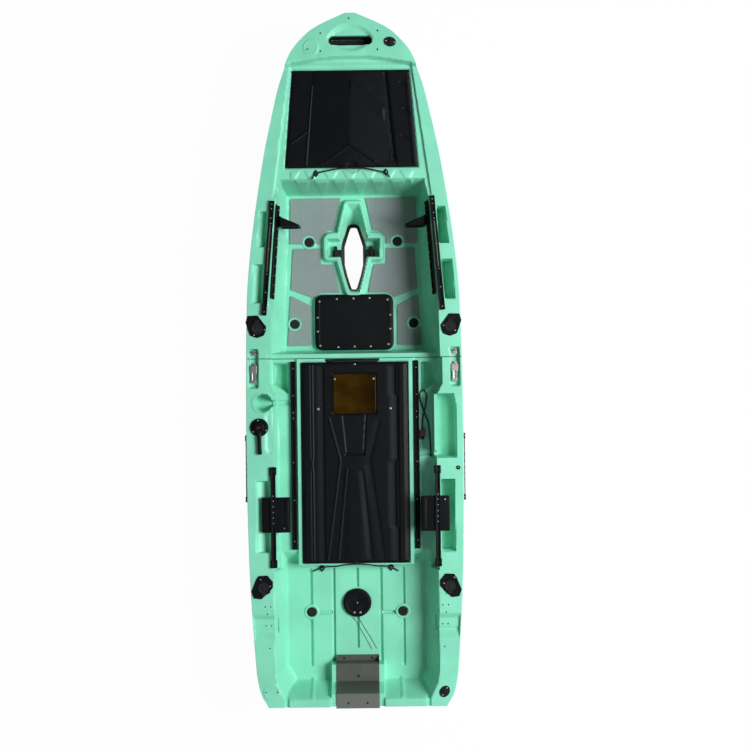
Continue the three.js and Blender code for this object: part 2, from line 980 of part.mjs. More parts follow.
function makeBowSection() {
  const hollows = [
    leaning(footwellShelf, footwellRim, platformZ, hullDepth + overrun),
    leaning(cockpitFoot, cockpitHead, cockpitZ, platformZ + overrun / 2),
    hollow(grown(frontHatchOutline, running), frontHatchFloor),
    hollow(
      rounded(
        rectangle(-gripWidth / 2, gripWidth / 2, at(gripStart), at(gripStart + gripLength)),
        gripLength / 2,
      ),
      deckAt(0) - gripDepth,
    ),
    hollow(
      rounded(
        rectangle(-gripDishHalf, gripDishHalf, at(gripDishStart), at(gripDishStart + gripDishLength)),
        gripLength / 2,
      ),
      deckAt(0) - gripDishDepth,
    ),
    through(driveFoot, driveHead, cockpitZ + driveRimHeight + overrun),
  ];
  for (const side of Object.values(sides)) {
    hollows.push(latchRecess(side));
    hollows.push(scupperHole(scuppers.front, side, cockpitZ), scupperHole(scuppers.middle, side, cockpitZ));
    for (const { shares, start, length, half } of sidePockets) {
      const outline = oneSide(placedRows(shares, start, length, half), side);
      hollows.push(hollow(rounded(outline, pocketCorner), hullDepth - sidePocketDepth));
    }
  }
  const frontOpening = rounded(grown(frontHatchOutline, -frontHatchLip), frontHatchCorner);
  const plateOpening = rounded(grown(deckPlateOutline, -deckPlateLip), deckPlateCorner);
  const notchEnd = frontHatchStart + frontHatchLength + fingerNotchRun;
  const notch = circle(0, at(notchEnd - fingerNotchRadius), fingerNotchRadius);
  const extras = [
    prism(frontOpening, frontHatchFloor - wall - overrun, hullDepth),
    prism(plateOpening, cockpitZ - wall - overrun, cockpitZ + deckPlateRaise + overrun),
    prism(notch, frontHatchFloor, hullDepth + overrun),
    post(bowDrain.x, at(bowDrain.d), drainStem + running, deckAt(0) - wall - overrun, deckTop),
  ];
  for (const side of Object.values(sides)) {
    extras.push(rodBore(rodHolders.front, side));
    const bearing = side * (frontHatchHalfFront + hatchPintleLength + running - frontHatchCorner);
    extras.push(
      crossPin(bearing, hingeY, hingeZ, hatchPintleRadius + seat, frontHatchCorner * 2),
    );
  }
  const rim = cutBy(prism(driveRim, cockpitZ - wall / 2, cockpitZ + driveRimHeight), [
    drafted(driveFoot, driveHead, -overrun, cockpitZ + driveRimHeight + overrun),
    prism(grown(deckPlateOutline, running), cockpitZ, cockpitZ + driveRimHeight + overrun),
  ]);
  const plateBed = prism(
    rounded(deckPlateOutline, deckPlateCorner),
    cockpitZ - wall / 2,
    cockpitZ + deckPlateRaise,
  );
  return hullSection(0, seam - sectionGap / 2, hollows, extras, [rim, plateBed]);
}

function makeSternSection() {
  const recess = hollow(
    mirrored([
      [seamHalf, seam - overrun],
      [seamHalf, platformStep],
      [platformHalf, platformStep + platformStepRun],
      [platformEndHalf, platformEnd],
    ]),
    platformZ,
  );
  const coamingHalf = centreHatchHalf + running + coamingWidth;
  const coamingOuter = rounded(
    mirrored([
      [coamingHalf, seam + sectionGap / 2],
      [coamingHalf, platformEnd],
    ]),
    centreHatchCorner,
  );
  const coamingInner = rounded(grown(centreHatchOutline, running), centreHatchCorner);
  const coaming = prism(coamingOuter, platformZ - wall / 2, platformZ + coamingHeight).subtract(
    prism(coamingInner, platformZ - wall, platformZ + coamingHeight + overrun),
  );
  const wellTop = mirrored([
    [tankwellHalf, platformEnd],
    [tankwellHalf, tankwellEnd],
  ]);
  const wellFoot = mirrored([
    [tankwellFloorHalf, platformEnd],
    [tankwellFloorHalf, tankwellEnd],
  ]);
  const hollows = [
    recess,
    leaning(wellFoot, wellTop, tankwellZ, deckTop),
    leaning(
      mirrored([
        [pedestalHalf, tankwellEnd - overrun],
        [pedestalHalf, pedestalEnd],
      ]),
      mirrored([
        [pedestalHalf, tankwellEnd - overrun],
        [pedestalHalf, pedestalEnd + transomSlope],
      ]),
      pedestalZ,
      transomSaddleZ,
    ),
    hollow(
      rectangle(-pedestalHalf, pedestalHalf, at(tankwellEnd - overrun), at(hullLength + overrun)),
      transomSaddleZ,
    ),
  ];
  for (const side of Object.values(sides)) {
    const wing = (aft, half) =>
      oneSide(
        [
          [pedestalHalf, tankwellEnd - overrun],
          [pedestalHalf, aft],
          [half, aft],
          [half, tankwellEnd - overrun],
        ],
        side,
      );
    const rearPocket = rectangle(
      side * rearPocketInner,
      side * rearPocketOuter,
      at(rearPocketStart),
      at(rearPocketStart + rearPocketLength),
    );
    const cornerPocket = oneSide(
      [
        [cornerPocketInner, cornerPocketStart],
        [cornerPocketInner, cornerPocketStart + cornerPocketLength],
        [cornerPocketOuter, cornerPocketStart + cornerPocketLength - cornerPocketSlant],
        [cornerPocketOuter, cornerPocketStart],
      ],
      side,
    );
    const wingFoot = wing(tankwellAft - tankwellAftRun, tankwellFloorHalf);
    const wingTop = wing(tankwellAft, tankwellHalf - wall * 2);
    hollows.push(
      leaning(wingFoot, wingTop, tankwellZ, deckTop),
      latchRecess(side),
      scupperHole(scuppers.rear, side, tankwellZ),
      hollow(rounded(rearPocket, pocketCorner), hullDepth - rearPocketDepth),
      hollow(rounded(cornerPocket, pocketCorner), platformZ - cornerPocketDepth, platformZ + overrun),
    );
  }
  const trayFloor = hullDepth - trayDepth;
  const trayEnd = trayStart + trayLength;
  const tray = [
    [trayInner, trayStart],
    [trayInner, trayEnd],
    [trayOuter, trayEnd],
    [trayOuter, trayStart + trayCutLength],
    [trayOuter - trayCutWidth, trayStart],
  ];
  hollows.push(
    hollow(rounded(oneSide(tray, sides.starboard), pocketCorner), trayFloor),
    hollow(
      rectangle(platformEndHalf, trayInner + overrun, at(trayEnd - trayGateLength), at(trayEnd)),
      trayFloor,
    ),
    hollow(circle(-cupX, at(cupY), cupRadius), hullDepth - cupDepth),
    hollow(
      rectangle(-cupX, -platformEndHalf, at(cupY - cupSlotHalf), at(cupY + cupSlotHalf)),
      hullDepth - cupSlotDepth,
    ),
    channel(sides.starboard, trayEnd - trayGateLength / 2),
    channel(sides.port, cupY),
  );
  const hatchOpening = rounded(grown(centreHatchOutline, -centreHatchLip), centreHatchCorner);
  const extras = [
    prism(hatchOpening, platformZ - wall - overrun, platformZ + overrun),
    post(0, at(roundHatchY), roundHatchNeck + running, tankwellZ - wall - overrun, tankwellZ + overrun),
    post(
      -steeringX,
      at(steeringY),
      steeringShaftRadius + running,
      hullDepth - wall - overrun,
      deckTop,
      smallSides,
    ),
    post(sternDrain.x, at(sternDrain.d), drainStem + running, hullDepth - wall - overrun, deckTop),
  ];
  for (const side of Object.values(sides)) {
    extras.push(rodBore(rodHolders.rear, side));
  }
  const outlet = box(
    cableOutletX - cableOutletHalf,
    platformHalf + overrun,
    at(cableOutletY),
    at(cableOutletY + cableOutletHalf * 2),
    platformZ - wall / 2,
    platformZ + cableOutletHeight,
  );
  return hullSection(seam + sectionGap / 2, hullLength, hollows, extras, [coaming, outlet]);
}

// A shallow channel across the platform, from the hatch coaming out to the side deck.
function channel(side, distance) {
  return hollow(
    rectangle(
      side * channelStart,
      side * platformHalf,
      at(distance - channelHalf),
      at(distance + channelHalf),
    ),
    platformZ - channelDepth,
    platformZ + overrun,
  );
}

// A lid whose top rises in facets: a flat plate with a ridge along it and folds towards its aft corners.
function makeFrontHatchCover() {
  const low = frontHatchFloor + seat;
  const high = low + frontHatchThickness;
  const plate = prism(rounded(frontHatchOutline, frontHatchCorner), low, high);
  const front = frontHatchStart + frontHatchLength * crestStartShare;
  const fork = frontHatchStart + frontHatchLength * crestForkShare;
  const aft = frontHatchStart + frontHatchLength * crestEndShare;
  const ridge = (half) =>
    mirrored([
      [half * crestNoseShare, front],
      [half, fork],
      [half, aft],
    ]);
  const facets = drafted(
    ridge(frontHatchHalfFront * crestFootShare),
    ridge(frontHatchHalfFront * crestTopShare),
    high - wall / 2,
    high + frontHatchCrest,
  );
  const pintles = Object.values(sides).map((side) =>
    crossPin(
      side * (frontHatchHalfFront - hatchPintleLength / 2),
      hingeY,
      hingeZ,
      hatchPintleRadius,
      hatchPintleLength * 3,
    ),
  );
  const underside = prism(
    rounded(grown(frontHatchOutline, -frontHatchLip), frontHatchCorner),
    low - overrun,
    high - frontHatchSkin,
  );
  const barrel = crossPin(0, hingeY, hingeZ, hatchPintleRadius, (frontHatchHalfFront - frontHatchCorner) * 2);
  const ahead = box(
    -frontHatchHalfAft,
    frontHatchHalfAft,
    hingeY,
    hingeY + frontHatchCorner,
    low - overrun,
    high + overrun,
  );
  return joined([cutBy(plate, [underside, ahead]), barrel, facets, ...pintles]);
}

function makeCentreHatchCover() {
  const low = platformZ + seat;
  const high = low + centreHatchThickness;
  const plate = prism(rounded(centreHatchOutline, centreHatchCorner), low, high);
  const ribLength = centreHatchLength * centreRibLengthShare;
  const ribs = centreRibShares.map((share) => {
    const x = share * centreHatchHalf;
    const half = centreRibWidth / 2;
    const start = centreHatchStart + (centreHatchLength - ribLength) / 2;
    const foot = rectangle(x - half, x + half, at(start), at(start + ribLength));
    return drafted(foot, grown(foot, -half / 2), high - wall / 2, high + centreRibHeight);
  });
  const windowBed = prism(
    mirrored([
      [windowHalf + running, windowStart - running],
      [windowHalf + running, windowStart + windowLength + running],
    ]),
    high - windowThickness,
    high + overrun,
  );
  const underside = prism(
    rounded(grown(centreHatchOutline, -centreHatchLip), centreHatchCorner),
    low - overrun,
    high - centreHatchSkin,
  );
  return joined([plate.subtract(underside), ...ribs]).subtract(windowBed);
}

function makeWindowPlate() {
  const low = platformZ + seat + centreHatchThickness - windowThickness + seat;
  return prism(
    mirrored([
      [windowHalf, windowStart],
      [windowHalf, windowStart + windowLength],
    ]),
    low,
    low + windowThickness,
  );
}

function makeDeckPlate() {
  const low = cockpitZ + deckPlateRaise + seat;
  const outline = rounded(deckPlateOutline, deckPlateCorner);
  return drafted(outline, grown(outline, -deckPlateThickness / 4), low, low + deckPlateThickness);
}

function makePad({ shares, start, length, half }, side) {
  const low = cockpitZ + seat;
  const high = low + padThickness;
  const outline = oneSide(placedRows(shares, start, length, half), side);
  const pad = prism(rounded(outline, padMargin), low, high);
  const clear = [
    prism(grown(driveRim, padMargin), low - overrun, high + overrun),
    prism(grown(deckPlateOutline, padMargin), low - overrun, high + overrun),
  ];
  for (const place of [scuppers.front, scuppers.middle]) {
    clear.push(post(side * place.x, at(place.d), scupperRingRadius, low - overrun, high + overrun));
  }
  return cutBy(pad, clear);
}

function makeScupperPlug({ x, d }, side, floor) {
  const low = floor + seat;
  const head = post(side * x, at(d), plugHeadRadius, low, low + plugHeadHeight, smallSides);
  const stem = post(
    side * x,
    at(d),
    scupperRadius - plugTaper,
    floor - plugDepth,
    floor + seat + plugHeadHeight / 2,
    smallSides,
    scupperRadius - seat,
  );
  return head.add(stem);
}

// A straight track with a slot along its top, from one place to another.
function makeTrack(start, end, side, low, feet = 0) {
  const from = new THREE.Vector2(side * start.x, at(start.d));
  const to = new THREE.Vector2(side * end.x, at(end.d));
  const length = from.distanceTo(to);
  const bar = box(-trackWidth / 2, trackWidth / 2, 0, length, low + feet, low + trackHeight);
  const slot = box(
    -trackSlot / 2,
    trackSlot / 2,
    -overrun,
    length + overrun,
    low + trackHeight - trackSlotDepth,
    low + trackHeight + overrun,
  );
  const ends = [0, length - rearTrackFoot].map((y) =>
    box(-trackFootWidth / 2, trackFootWidth / 2, y, y + rearTrackFoot, low, low + trackFootHeight),
  );
  const body = (feet ? joined([bar, ...ends]) : bar).subtract(slot);
  const angle = Math.atan2(to.y - from.y, to.x - from.x) - Math.PI / 2;
  return body.rotate([0, 0, THREE.MathUtils.radToDeg(angle)]).translate([from.x, from.y, 0]);
}

function makeSeatRail(side) {
  const low = platformZ + seat;
  const rail = box(
    side * railX - railWidth / 2,
    side * railX + railWidth / 2,
    at(railStart),
    at(railEnd),
    low,
    low + railHeight,
  );
  const slot = box(
    side * railX - trackSlot / 2,
    side * railX + trackSlot / 2,
    at(railStart) + overrun,
    at(railEnd) - overrun,
    low + railHeight - trackSlotDepth,
    low + railHeight + overrun,
  );
  return rail.subtract(slot);
}

// The footwell's upper wall, as its half width at a distance from the bow.
const footwellFlare = (footwellAftHalf - footwellFrontHalf) / (footwellAft - footwellFront);
const footwellHalfAt = (d) => footwellFrontHalf + footwellFlare * (d - footwellFront);

function makeBraceTrack(side) {
  const along = (d, inward) => [footwellHalfAt(d) - inward, d];
  const outline = oneSide(
    [
      along(braceTrackStart, seat * 2),
      along(braceTrackStart, braceTrackThickness),
      along(braceTrackEnd, braceTrackThickness),
      along(braceTrackEnd, seat * 2),
    ],
    side,
  );
  return prism(outline, braceZ - braceTrackHeight / 2, braceZ + braceTrackHeight / 2);
}

function makeFootPedal(side) {
  const face = footPedalAt + footPedalRoot / 2;
  const rootAt = (d, inward) => [footwellHalfAt(d) - braceTrackThickness - inward, d];
  const shoe = oneSide(
    [
      rootAt(face - footPedalRoot, running),
      rootAt(face, running),
      rootAt(face, footPedalBlock + running),
      rootAt(face - footPedalRoot, footPedalBlock + running),
    ],
    side,
  );
  const blade = oneSide(
    [
      rootAt(face - footPedalRoot, footPedalBlock / 2),
      rootAt(face, footPedalBlock / 2),
      rootAt(face, footPedalReach + footPedalBlock),
      rootAt(face - footPedalTip, footPedalReach + footPedalBlock),
    ],
    side,
  );
  const carriage = prism(shoe, braceZ - braceTrackHeight, braceZ + braceTrackHeight);
  const plate = prism(blade, braceZ - footPedalBelow, braceZ + footPedalAbove);
  return carriage.add(plate);
}

// The flange's outline, placed on their side of the boat and turned for the front or rear pair.
function aroundHolder(shares, place, side) {
  return turningLeft(
    shares.map(([across, along]) => [
      side * (place.x - rodFlangeHalf * across),
      at(place.d + place.turn * rodFlangeHalf * along),
    ]),
  );
}

function makeRodHolder(place, side) {
  const low = hullDepth + seat;
  const high = low + rodFlangeThickness;
  const x = side * place.x;
  const y = at(place.d);
  const flange = prism(rounded(aroundHolder(rodFlangeShares, place, side), pocketCorner, 1), low, high);
  const tube = post(x, y, rodTubeOuter, high - rodTubeLength, high);
  const bore = post(x, y, rodTubeInner, high - rodTubeLength + rodTubeBottom, high + overrun);
  return flange.add(tube).subtract(bore);
}

function makeRodCap(place, side) {
  const low = hullDepth + seat + rodFlangeThickness + seat;
  const x = side * place.x;
  const y = at(place.d);
  const lid = post(x, y, capRadius, low, low + capThickness);
  const hinge = y + place.turn * capHingeAt;
  const arm = box(x - capPinHalf, x + capPinHalf, y, hinge, low, low + capThickness);
  const barrel = crossPin(x, hinge, low + capPinRadius, capPinRadius, capPinHalf * 2, cordSides);
  return joined([lid, arm, barrel]);
}

function makeRoundHatchRing() {
  const y = at(roundHatchY);
  const low = tankwellZ + seat;
  const flangeTop = roundHatchRadius - roundHatchHeight / 3;
  const flange = post(0, y, roundHatchRadius, low, low + roundHatchHeight, roundSides, flangeTop);
  const neck = post(0, y, roundHatchNeck, tankwellZ - roundHatchDepth, low + roundHatchHeight / 2);
  const bore = post(0, y, roundHatchBore, tankwellZ - roundHatchDepth - overrun, deckTop);
  return flange.add(neck).subtract(bore);
}

function makeRoundHatchLid() {
  const y = at(roundHatchY);
  const seatZ = tankwellZ + seat + roundHatchHeight;
  const top = post(0, y, roundHatchBore + wall, seatZ + seat, seatZ + seat + roundLidHeight / 2);
  const plug = post(0, y, roundHatchBore - running, tankwellZ, seatZ + seat + roundLidHeight / 4);
  const grip = post(0, y, wall, seatZ, seatZ + roundLidHeight, cordSides);
  return joined([top, plug, grip]);
}

function makeSteeringBase() {
  const x = -steeringX;
  const y = at(steeringY);
  const low = hullDepth + seat;
  return post(x, y, steeringBaseRadius, low, low + steeringBaseHeight).subtract(
    post(
      x,
      y,
      steeringShaftRadius + running,
      low - overrun,
      low + steeringBaseHeight + overrun,
      smallSides,
    ),
  );
}

function makeSteeringLever() {
  const x = -steeringX;
  const y = at(steeringY);
  const low = hullDepth + seat + steeringBaseHeight + seat;
  const hub = post(x, y, steeringHubRadius, low, low + steeringHubHeight);
  const arm = rounded(
    rectangle(x - steeringArmWidth / 2, x + steeringArmWidth / 2, y, y - steeringArmLength),
    steeringArmWidth / 3,
  );
  const shaft = post(
    x,
    y,
    steeringShaftRadius,
    low - steeringShaftDepth,
    low + steeringArmHeight / 2,
    smallSides,
  );
  const drumTop = low - steeringShaftDepth + steeringDrumHeight;
  const drum = post(x, y, steeringDrumRadius, low - steeringShaftDepth, drumTop, smallSides);
  return joined([hub, prism(arm, low, low + steeringArmHeight), shaft, drum]);
}

function makeDrain({ x, d }, deck) {
  const low = deck + seat;
  const geometry = new THREE.CylinderGeometry(1, 1, drainHeight, roundSides);
  geometry.rotateX(Math.PI / 2);
  geometry.scale(drainHalfLength, drainHalfWidth, 1);
  geometry.translate(x, at(d), low + drainHeight / 2);
  const stem = post(x, at(d), drainStem, low - drainStemDepth, low + drainHeight / 2);
  return solid(geometry).add(stem);
}

// A folded sheet that follows the tankwell floor, the pedestal and the transom.
function makeSternBracket() {
  const t = bracketThickness;
  const lean = Math.atan2(transomSaddleZ - pedestalZ, transomSlope);
  const along = t * Math.tan(lean / 2);
  const end = hullLength + bracketOverhang;
  const under = [
    [bracketStart, tankwellZ + seat],
    [tankwellEnd - overrun - seat, tankwellZ + seat],
    [tankwellEnd - overrun - seat, pedestalZ + seat],
    [pedestalEnd - seat, pedestalZ + seat],
    [pedestalEnd + transomSlope - seat, transomSaddleZ + seat],
    [end, transomSaddleZ + seat],
  ];
  const over = [
    [end, under[5][1] + t],
    [under[4][0] - along, under[4][1] + t],
    [under[3][0] - along, under[3][1] + t],
    [under[2][0] - t, under[2][1] + t],
    [under[1][0] - t, under[1][1] + t],
    [bracketStart, under[0][1] + t],
  ];
  const sheet = sideProfile([...under, ...over], -bracketWidth / 2, bracketWidth / 2);
  const holes = [-1, 1].flatMap((s) => [
    post(
      s * bracketFrontHoleX,
      at(bracketStart + bracketHoleInset),
      bracketHole,
      tankwellZ - overrun,
      deckTop,
      smallSides,
    ),
    post(
      s * bracketRearHoleX,
      at(end - bracketHoleInset),
      bracketHole,
      tankwellZ - overrun,
      deckTop,
      smallSides,
    ),
  ]);
  return cutBy(sheet, holes);
}

function makeSidePlate(side) {
  const low = hullDepth + seat;
  const outline = rectangle(
    side * sidePlateX - sidePlateWidth / 2,
    side * sidePlateX + sidePlateWidth / 2,
    at(sidePlateStart),
    at(sidePlateStart + sidePlateLength),
  );
  return prism(rounded(outline, sidePlateCorner, 1), low, low + sidePlateThickness);
}

// Latch pieces. The hook is on the bow section; the base, lever and loop are on the stern section.
const latchFloor = hullDepth - latchRecessDepth;
const pivotZ = latchFloor + seat + latchPivotHeight;
const wireZ = pivotZ - bailWire;
const hookY = at(keeperStart + keeperLength / 2);

function makeKeeper(side) {
  const x = side * latchX;
  const low = latchFloor + seat;
  const plate = box(
    x - keeperHalf,
    x + keeperHalf,
    at(keeperStart),
    at(keeperStart + keeperLength),
    low,
    low + latchPlate,
  );
  const hook = box(x - keeperHalf, x + keeperHalf, hookY, hookY - keeperWall, low, wireZ + bailWire * 2);
  return plate.add(hook);
}

function makeLatchBase(side) {
  const x = side * latchX;
  const low = latchFloor + seat;
  const plate = box(
    x - baseHalf,
    x + baseHalf,
    at(baseStart),
    at(baseStart + baseLength),
    low,
    low + latchPlate,
  );
  const y = at(latchPivot);
  const ears = [-1, 1].map((s) => {
    const outer = x + s * baseHalf;
    const inner = outer - s * earThickness;
    const half = leverCheekHeight / 2;
    return box(inner, outer, y - half, y + half, low, pivotZ + pivotPinRadius * 2);
  });
  const hole = crossPin(x, y, pivotZ, pivotPinRadius + running / 2, leverHalf * 3);
  return joined([plate, ...ears]).subtract(hole);
}

function makeLatchLever(side) {
  const x = side * latchX;
  const y = at(latchPivot);
  const top = pivotZ + leverCheekHeight / 2;
  const skinLow = top - leverSkin;
  const handle = box(x - leverHalf, x + leverHalf, y - leverCheekHeight, y - leverLength, skinLow, top);
  const cheekLow = pivotZ - pivotPinRadius - running * 2;
  const cheeks = [-1, 1].map((s) => {
    const outer = x + s * leverHalf;
    return box(outer - s * leverSkin, outer, y + leverCheekHeight / 2, y - leverCheekLength, cheekLow, top);
  });
  const pin = crossPin(x, y, pivotZ, pivotPinRadius, leverHalf * 2 - leverSkin);
  const bailHole = crossPin(x, y - bailOffset, wireZ, bailWire + running / 2, leverHalf * 3, cordSides);
  return joined([handle, ...cheeks, pin]).subtract(bailHole);
}

// A wire loop: a bar at the hook, two sides, and two short ends turned in through the lever's cheeks.
function makeBail(side) {
  const x = side * latchX;
  const back = at(latchPivot) - bailOffset;
  const front = hookY + bailWire + running;
  const bar = crossPin(x, front, wireZ, bailWire, bailHalf * 2 + bailWire * 2, cordSides);
  const arms = [-1, 1].map((s) => {
    const arm = new THREE.CylinderGeometry(bailWire, bailWire, front - back + bailWire * 2, cordSides);
    arm.translate(x + s * bailHalf, (front + back) / 2, wireZ);
    return solid(arm);
  });
  const end = bailHalf - leverHalf + leverSkin;
  const tips = [-1, 1].map((s) => {
    const across = x + s * (bailHalf - end / 2);
    return crossPin(across, back, wireZ, bailWire, end, cordSides);
  });
  return joined([bar, ...arms, ...tips]);
}

// A strap along the hull's side, held off it by a block at each end.
function makeSideHandle(side) {
  const y = at(handleY);
  const skinX = (d) => halfBeamAt(d) + seat;
  const skins = [-1, 0, 1].map((s) => skinX(handleY + s * handleHalf));
  const far = Math.max(...skins) + handleGap;
  const strap = box(
    side * far,
    side * (far + handleStrap),
    y - handleHalf,
    y + handleHalf,
    handleZ - handleHeight / 2,
    handleZ + handleHeight / 2,
  );
  const blocks = [-1, 1].map((end) => {
    const outer = handleY + end * handleHalf;
    const inner = handleY + end * (handleHalf - handleEnd);
    const outline = oneSide(
      [
        [skinX(outer), outer],
        [skinX(inner), inner],
        [far + handleStrap / 2, inner],
        [far + handleStrap / 2, outer],
      ],
      side,
    );
    return prism(outline, handleZ - handleHeight / 2, handleZ + handleHeight / 2);
  });
  return joined([strap, ...blocks]);
}

// Cords: points are sideways place, distance from the bow and height.
const placed = (points) => points.map(([x, d, z]) => [x, at(d), z]);
function makeConnector() {
  const [x, d] = powerCable.at(-1);
  const y = at(d) - seat * 2;
  const low = platformZ + seat;
  const body = box(
    x - connectorHalf,
    x + connectorHalf,
    y - connectorLength,
    y,
    low,
    low + connectorHeight,
  );
  const nose = box(
    x - connectorNoseHalf,
    x + connectorNoseHalf,
    y - connectorLength - connectorNose,
    y - connectorLength + overrun,
    low,
    low + connectorNoseHeight,
  );
  return body.add(nose);
}

piece("hull_bow_section", makeBowSection(), hullGreen);
piece("hull_stern_section", makeSternSection(), hullGreen);
piece("front_hatch_cover", makeFrontHatchCover(), blackPlastic);
piece("centre_hatch_cover", makeCentreHatchCover(), blackPlastic);
piece("hatch_window_plate", makeWindowPlate(), smokedAmber);
piece("deck_plate", makeDeckPlate(), blackPlastic);
piece("round_hatch_ring", makeRoundHatchRing(), blackPlastic);
piece("round_hatch_lid", makeRoundHatchLid(), blackPlastic);
piece("steering_base", makeSteeringBase(), blackPlastic);
piece("steering_lever", makeSteeringLever(), blackPlastic);
piece("bow_drain_plug", makeDrain(bowDrain, deckAt(0)), blackRubber);
piece("stern_drain_plug", makeDrain(sternDrain, hullDepth), blackRubber);
piece("stern_bracket", makeSternBracket(), brushedAluminium);

for (const [name, side] of Object.entries(sides)) {
  for (const [place, pad] of Object.entries(pads)) {
    piece(`floor_pad_${place}_${name}`, makePad(pad, side), padFoam);
  }
  piece(
    `gear_track_front_${name}`,
    makeTrack(frontTrackFore, frontTrackAft, side, hullDepth + seat),
    blackPlastic,
  );
  piece(
    `gear_track_rear_${name}`,
    makeTrack(
      { x: rearTrackX, d: rearTrackStart },
      { x: rearTrackX, d: rearTrackStart + rearTrackLength },
      side,
      hullDepth + seat,
      sidePlateThickness + seat,
    ),
    blackPlastic,
  );
  piece(`side_plate_${name}`, makeSidePlate(side), blackPlastic);
  piece(`seat_rail_${name}`, makeSeatRail(side), blackPlastic);
  piece(`foot_brace_track_${name}`, makeBraceTrack(side), blackPlastic);
  piece(`foot_pedal_${name}`, makeFootPedal(side), blackPlastic);
  for (const [place, holder] of Object.entries(rodHolders)) {
    piece(`rod_holder_${place}_${name}`, makeRodHolder(holder, side), blackPlastic);
    piece(`rod_holder_cap_${place}_${name}`, makeRodCap(holder, side), blackRubber);
  }
  for (const [place, spot] of Object.entries(scuppers)) {
    const floor = place === "rear" ? tankwellZ : cockpitZ;
    piece(`scupper_plug_${place}_${name}`, makeScupperPlug(spot, side, floor), blackRubber);
  }
  piece(`latch_keeper_${name}`, makeKeeper(side), brushedSteel);
  piece(`latch_base_${name}`, makeLatchBase(side), brushedSteel);
  piece(`latch_lever_${name}`, makeLatchLever(side), brushedSteel);
  piece(`latch_bail_${name}`, makeBail(side), brushedSteel);
  piece(`side_handle_${name}`, makeSideHandle(side), blackRubber);
}

piece("front_bungee", cord(placed(frontBungee), bungeeRadius, cordSides, 24), braidBlack);
piece("centre_front_bungee", cord(placed(centreFrontBungee), bungeeRadius, cordSides, 16), braidBlack);
piece("centre_rear_bungee", cord(placed(centreRearBungee), bungeeRadius, cordSides, 24), braidBlack);
piece("power_cable", cord(placed(powerCable), cableRadius, cordSides, 36), blackRubber);
piece("power_connector", makeConnector(), connectorRed);

export default boat;
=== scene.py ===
"""A pedal kayak: moulded hull sections, hatches, tracks, latches and small fittings.

Lengths are in millimetres as (across, behind the bow tip, up), and one function places them
in the frame: across is +X to starboard, the bow points to +Y and the keel rests on zero.
"""

import functools
import json
import math

import bmesh
import bpy
import numpy as np
from bpy.props import FloatProperty, FloatVectorProperty, IntProperty, PointerProperty
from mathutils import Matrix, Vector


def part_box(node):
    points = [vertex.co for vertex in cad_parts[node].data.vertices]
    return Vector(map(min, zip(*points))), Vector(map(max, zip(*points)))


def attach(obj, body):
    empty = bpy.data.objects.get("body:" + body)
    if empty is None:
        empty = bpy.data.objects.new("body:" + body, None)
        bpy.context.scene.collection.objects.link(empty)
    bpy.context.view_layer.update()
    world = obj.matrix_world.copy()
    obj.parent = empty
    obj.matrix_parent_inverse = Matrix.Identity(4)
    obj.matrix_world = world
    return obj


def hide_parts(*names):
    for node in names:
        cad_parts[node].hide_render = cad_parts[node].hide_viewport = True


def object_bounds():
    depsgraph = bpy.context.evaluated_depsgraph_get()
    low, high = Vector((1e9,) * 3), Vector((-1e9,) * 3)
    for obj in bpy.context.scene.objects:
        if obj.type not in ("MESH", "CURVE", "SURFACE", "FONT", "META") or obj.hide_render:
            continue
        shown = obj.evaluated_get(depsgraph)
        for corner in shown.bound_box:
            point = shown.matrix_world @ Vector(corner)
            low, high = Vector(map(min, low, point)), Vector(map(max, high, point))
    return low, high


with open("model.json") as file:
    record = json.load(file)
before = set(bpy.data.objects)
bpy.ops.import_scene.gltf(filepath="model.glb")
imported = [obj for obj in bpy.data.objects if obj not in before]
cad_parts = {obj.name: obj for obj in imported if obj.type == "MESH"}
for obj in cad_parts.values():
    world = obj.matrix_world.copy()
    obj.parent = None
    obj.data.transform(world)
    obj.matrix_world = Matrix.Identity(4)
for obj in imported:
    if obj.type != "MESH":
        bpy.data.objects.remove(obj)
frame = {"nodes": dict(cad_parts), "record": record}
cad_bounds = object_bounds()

bl_info = {
    "name": "Pedal kayak",
    "version": (1, 0, 0),
    "blender": (4, 5, 0),
    "location": "3D View > Sidebar > Kayak",
    "description": "Makes the visible pieces of a pedal kayak on its packed frame",
    "category": "Add Mesh",
}

BOW = cad_bounds[1].y * 1000
SEAM = 1438
LENGTH = 2900
HALF_BEAM = 461
DECK = 330
PLATFORM = 240
COCKPIT = 120
TANKWELL = 190
SIDES = (-1, 1)
NAMES = {-1: "port", 1: "starboard"}
JOINT_GAP = 0.9
DECK_SHARE = 0.985
WELL_SHARE, WELL_HALF = 0.66, 300
GRIP, GRIP_REACH = 113, 72
SEAT_RAIL, REAR_TRACK, LATCH = 262, 344, 422
SCUPPER_BORE = 18.4
CUP = (-384, 1623)
STEERING = (-399, 1725)
ROUND_HATCH = (0, 2488)
ROD_HOLDERS = {"front": (404, 1311), "rear": (390, 2396)}

HULL, FOAM, SHEET, AMBER, RED, BRAID = (
    "hull_green", "pad_foam", "brushed_aluminium", "smoked_amber", "connector_red",
    "braid_black",
)
PLASTIC, RUBBER, STEEL = "black_plastic", "black_rubber", "brushed_steel"

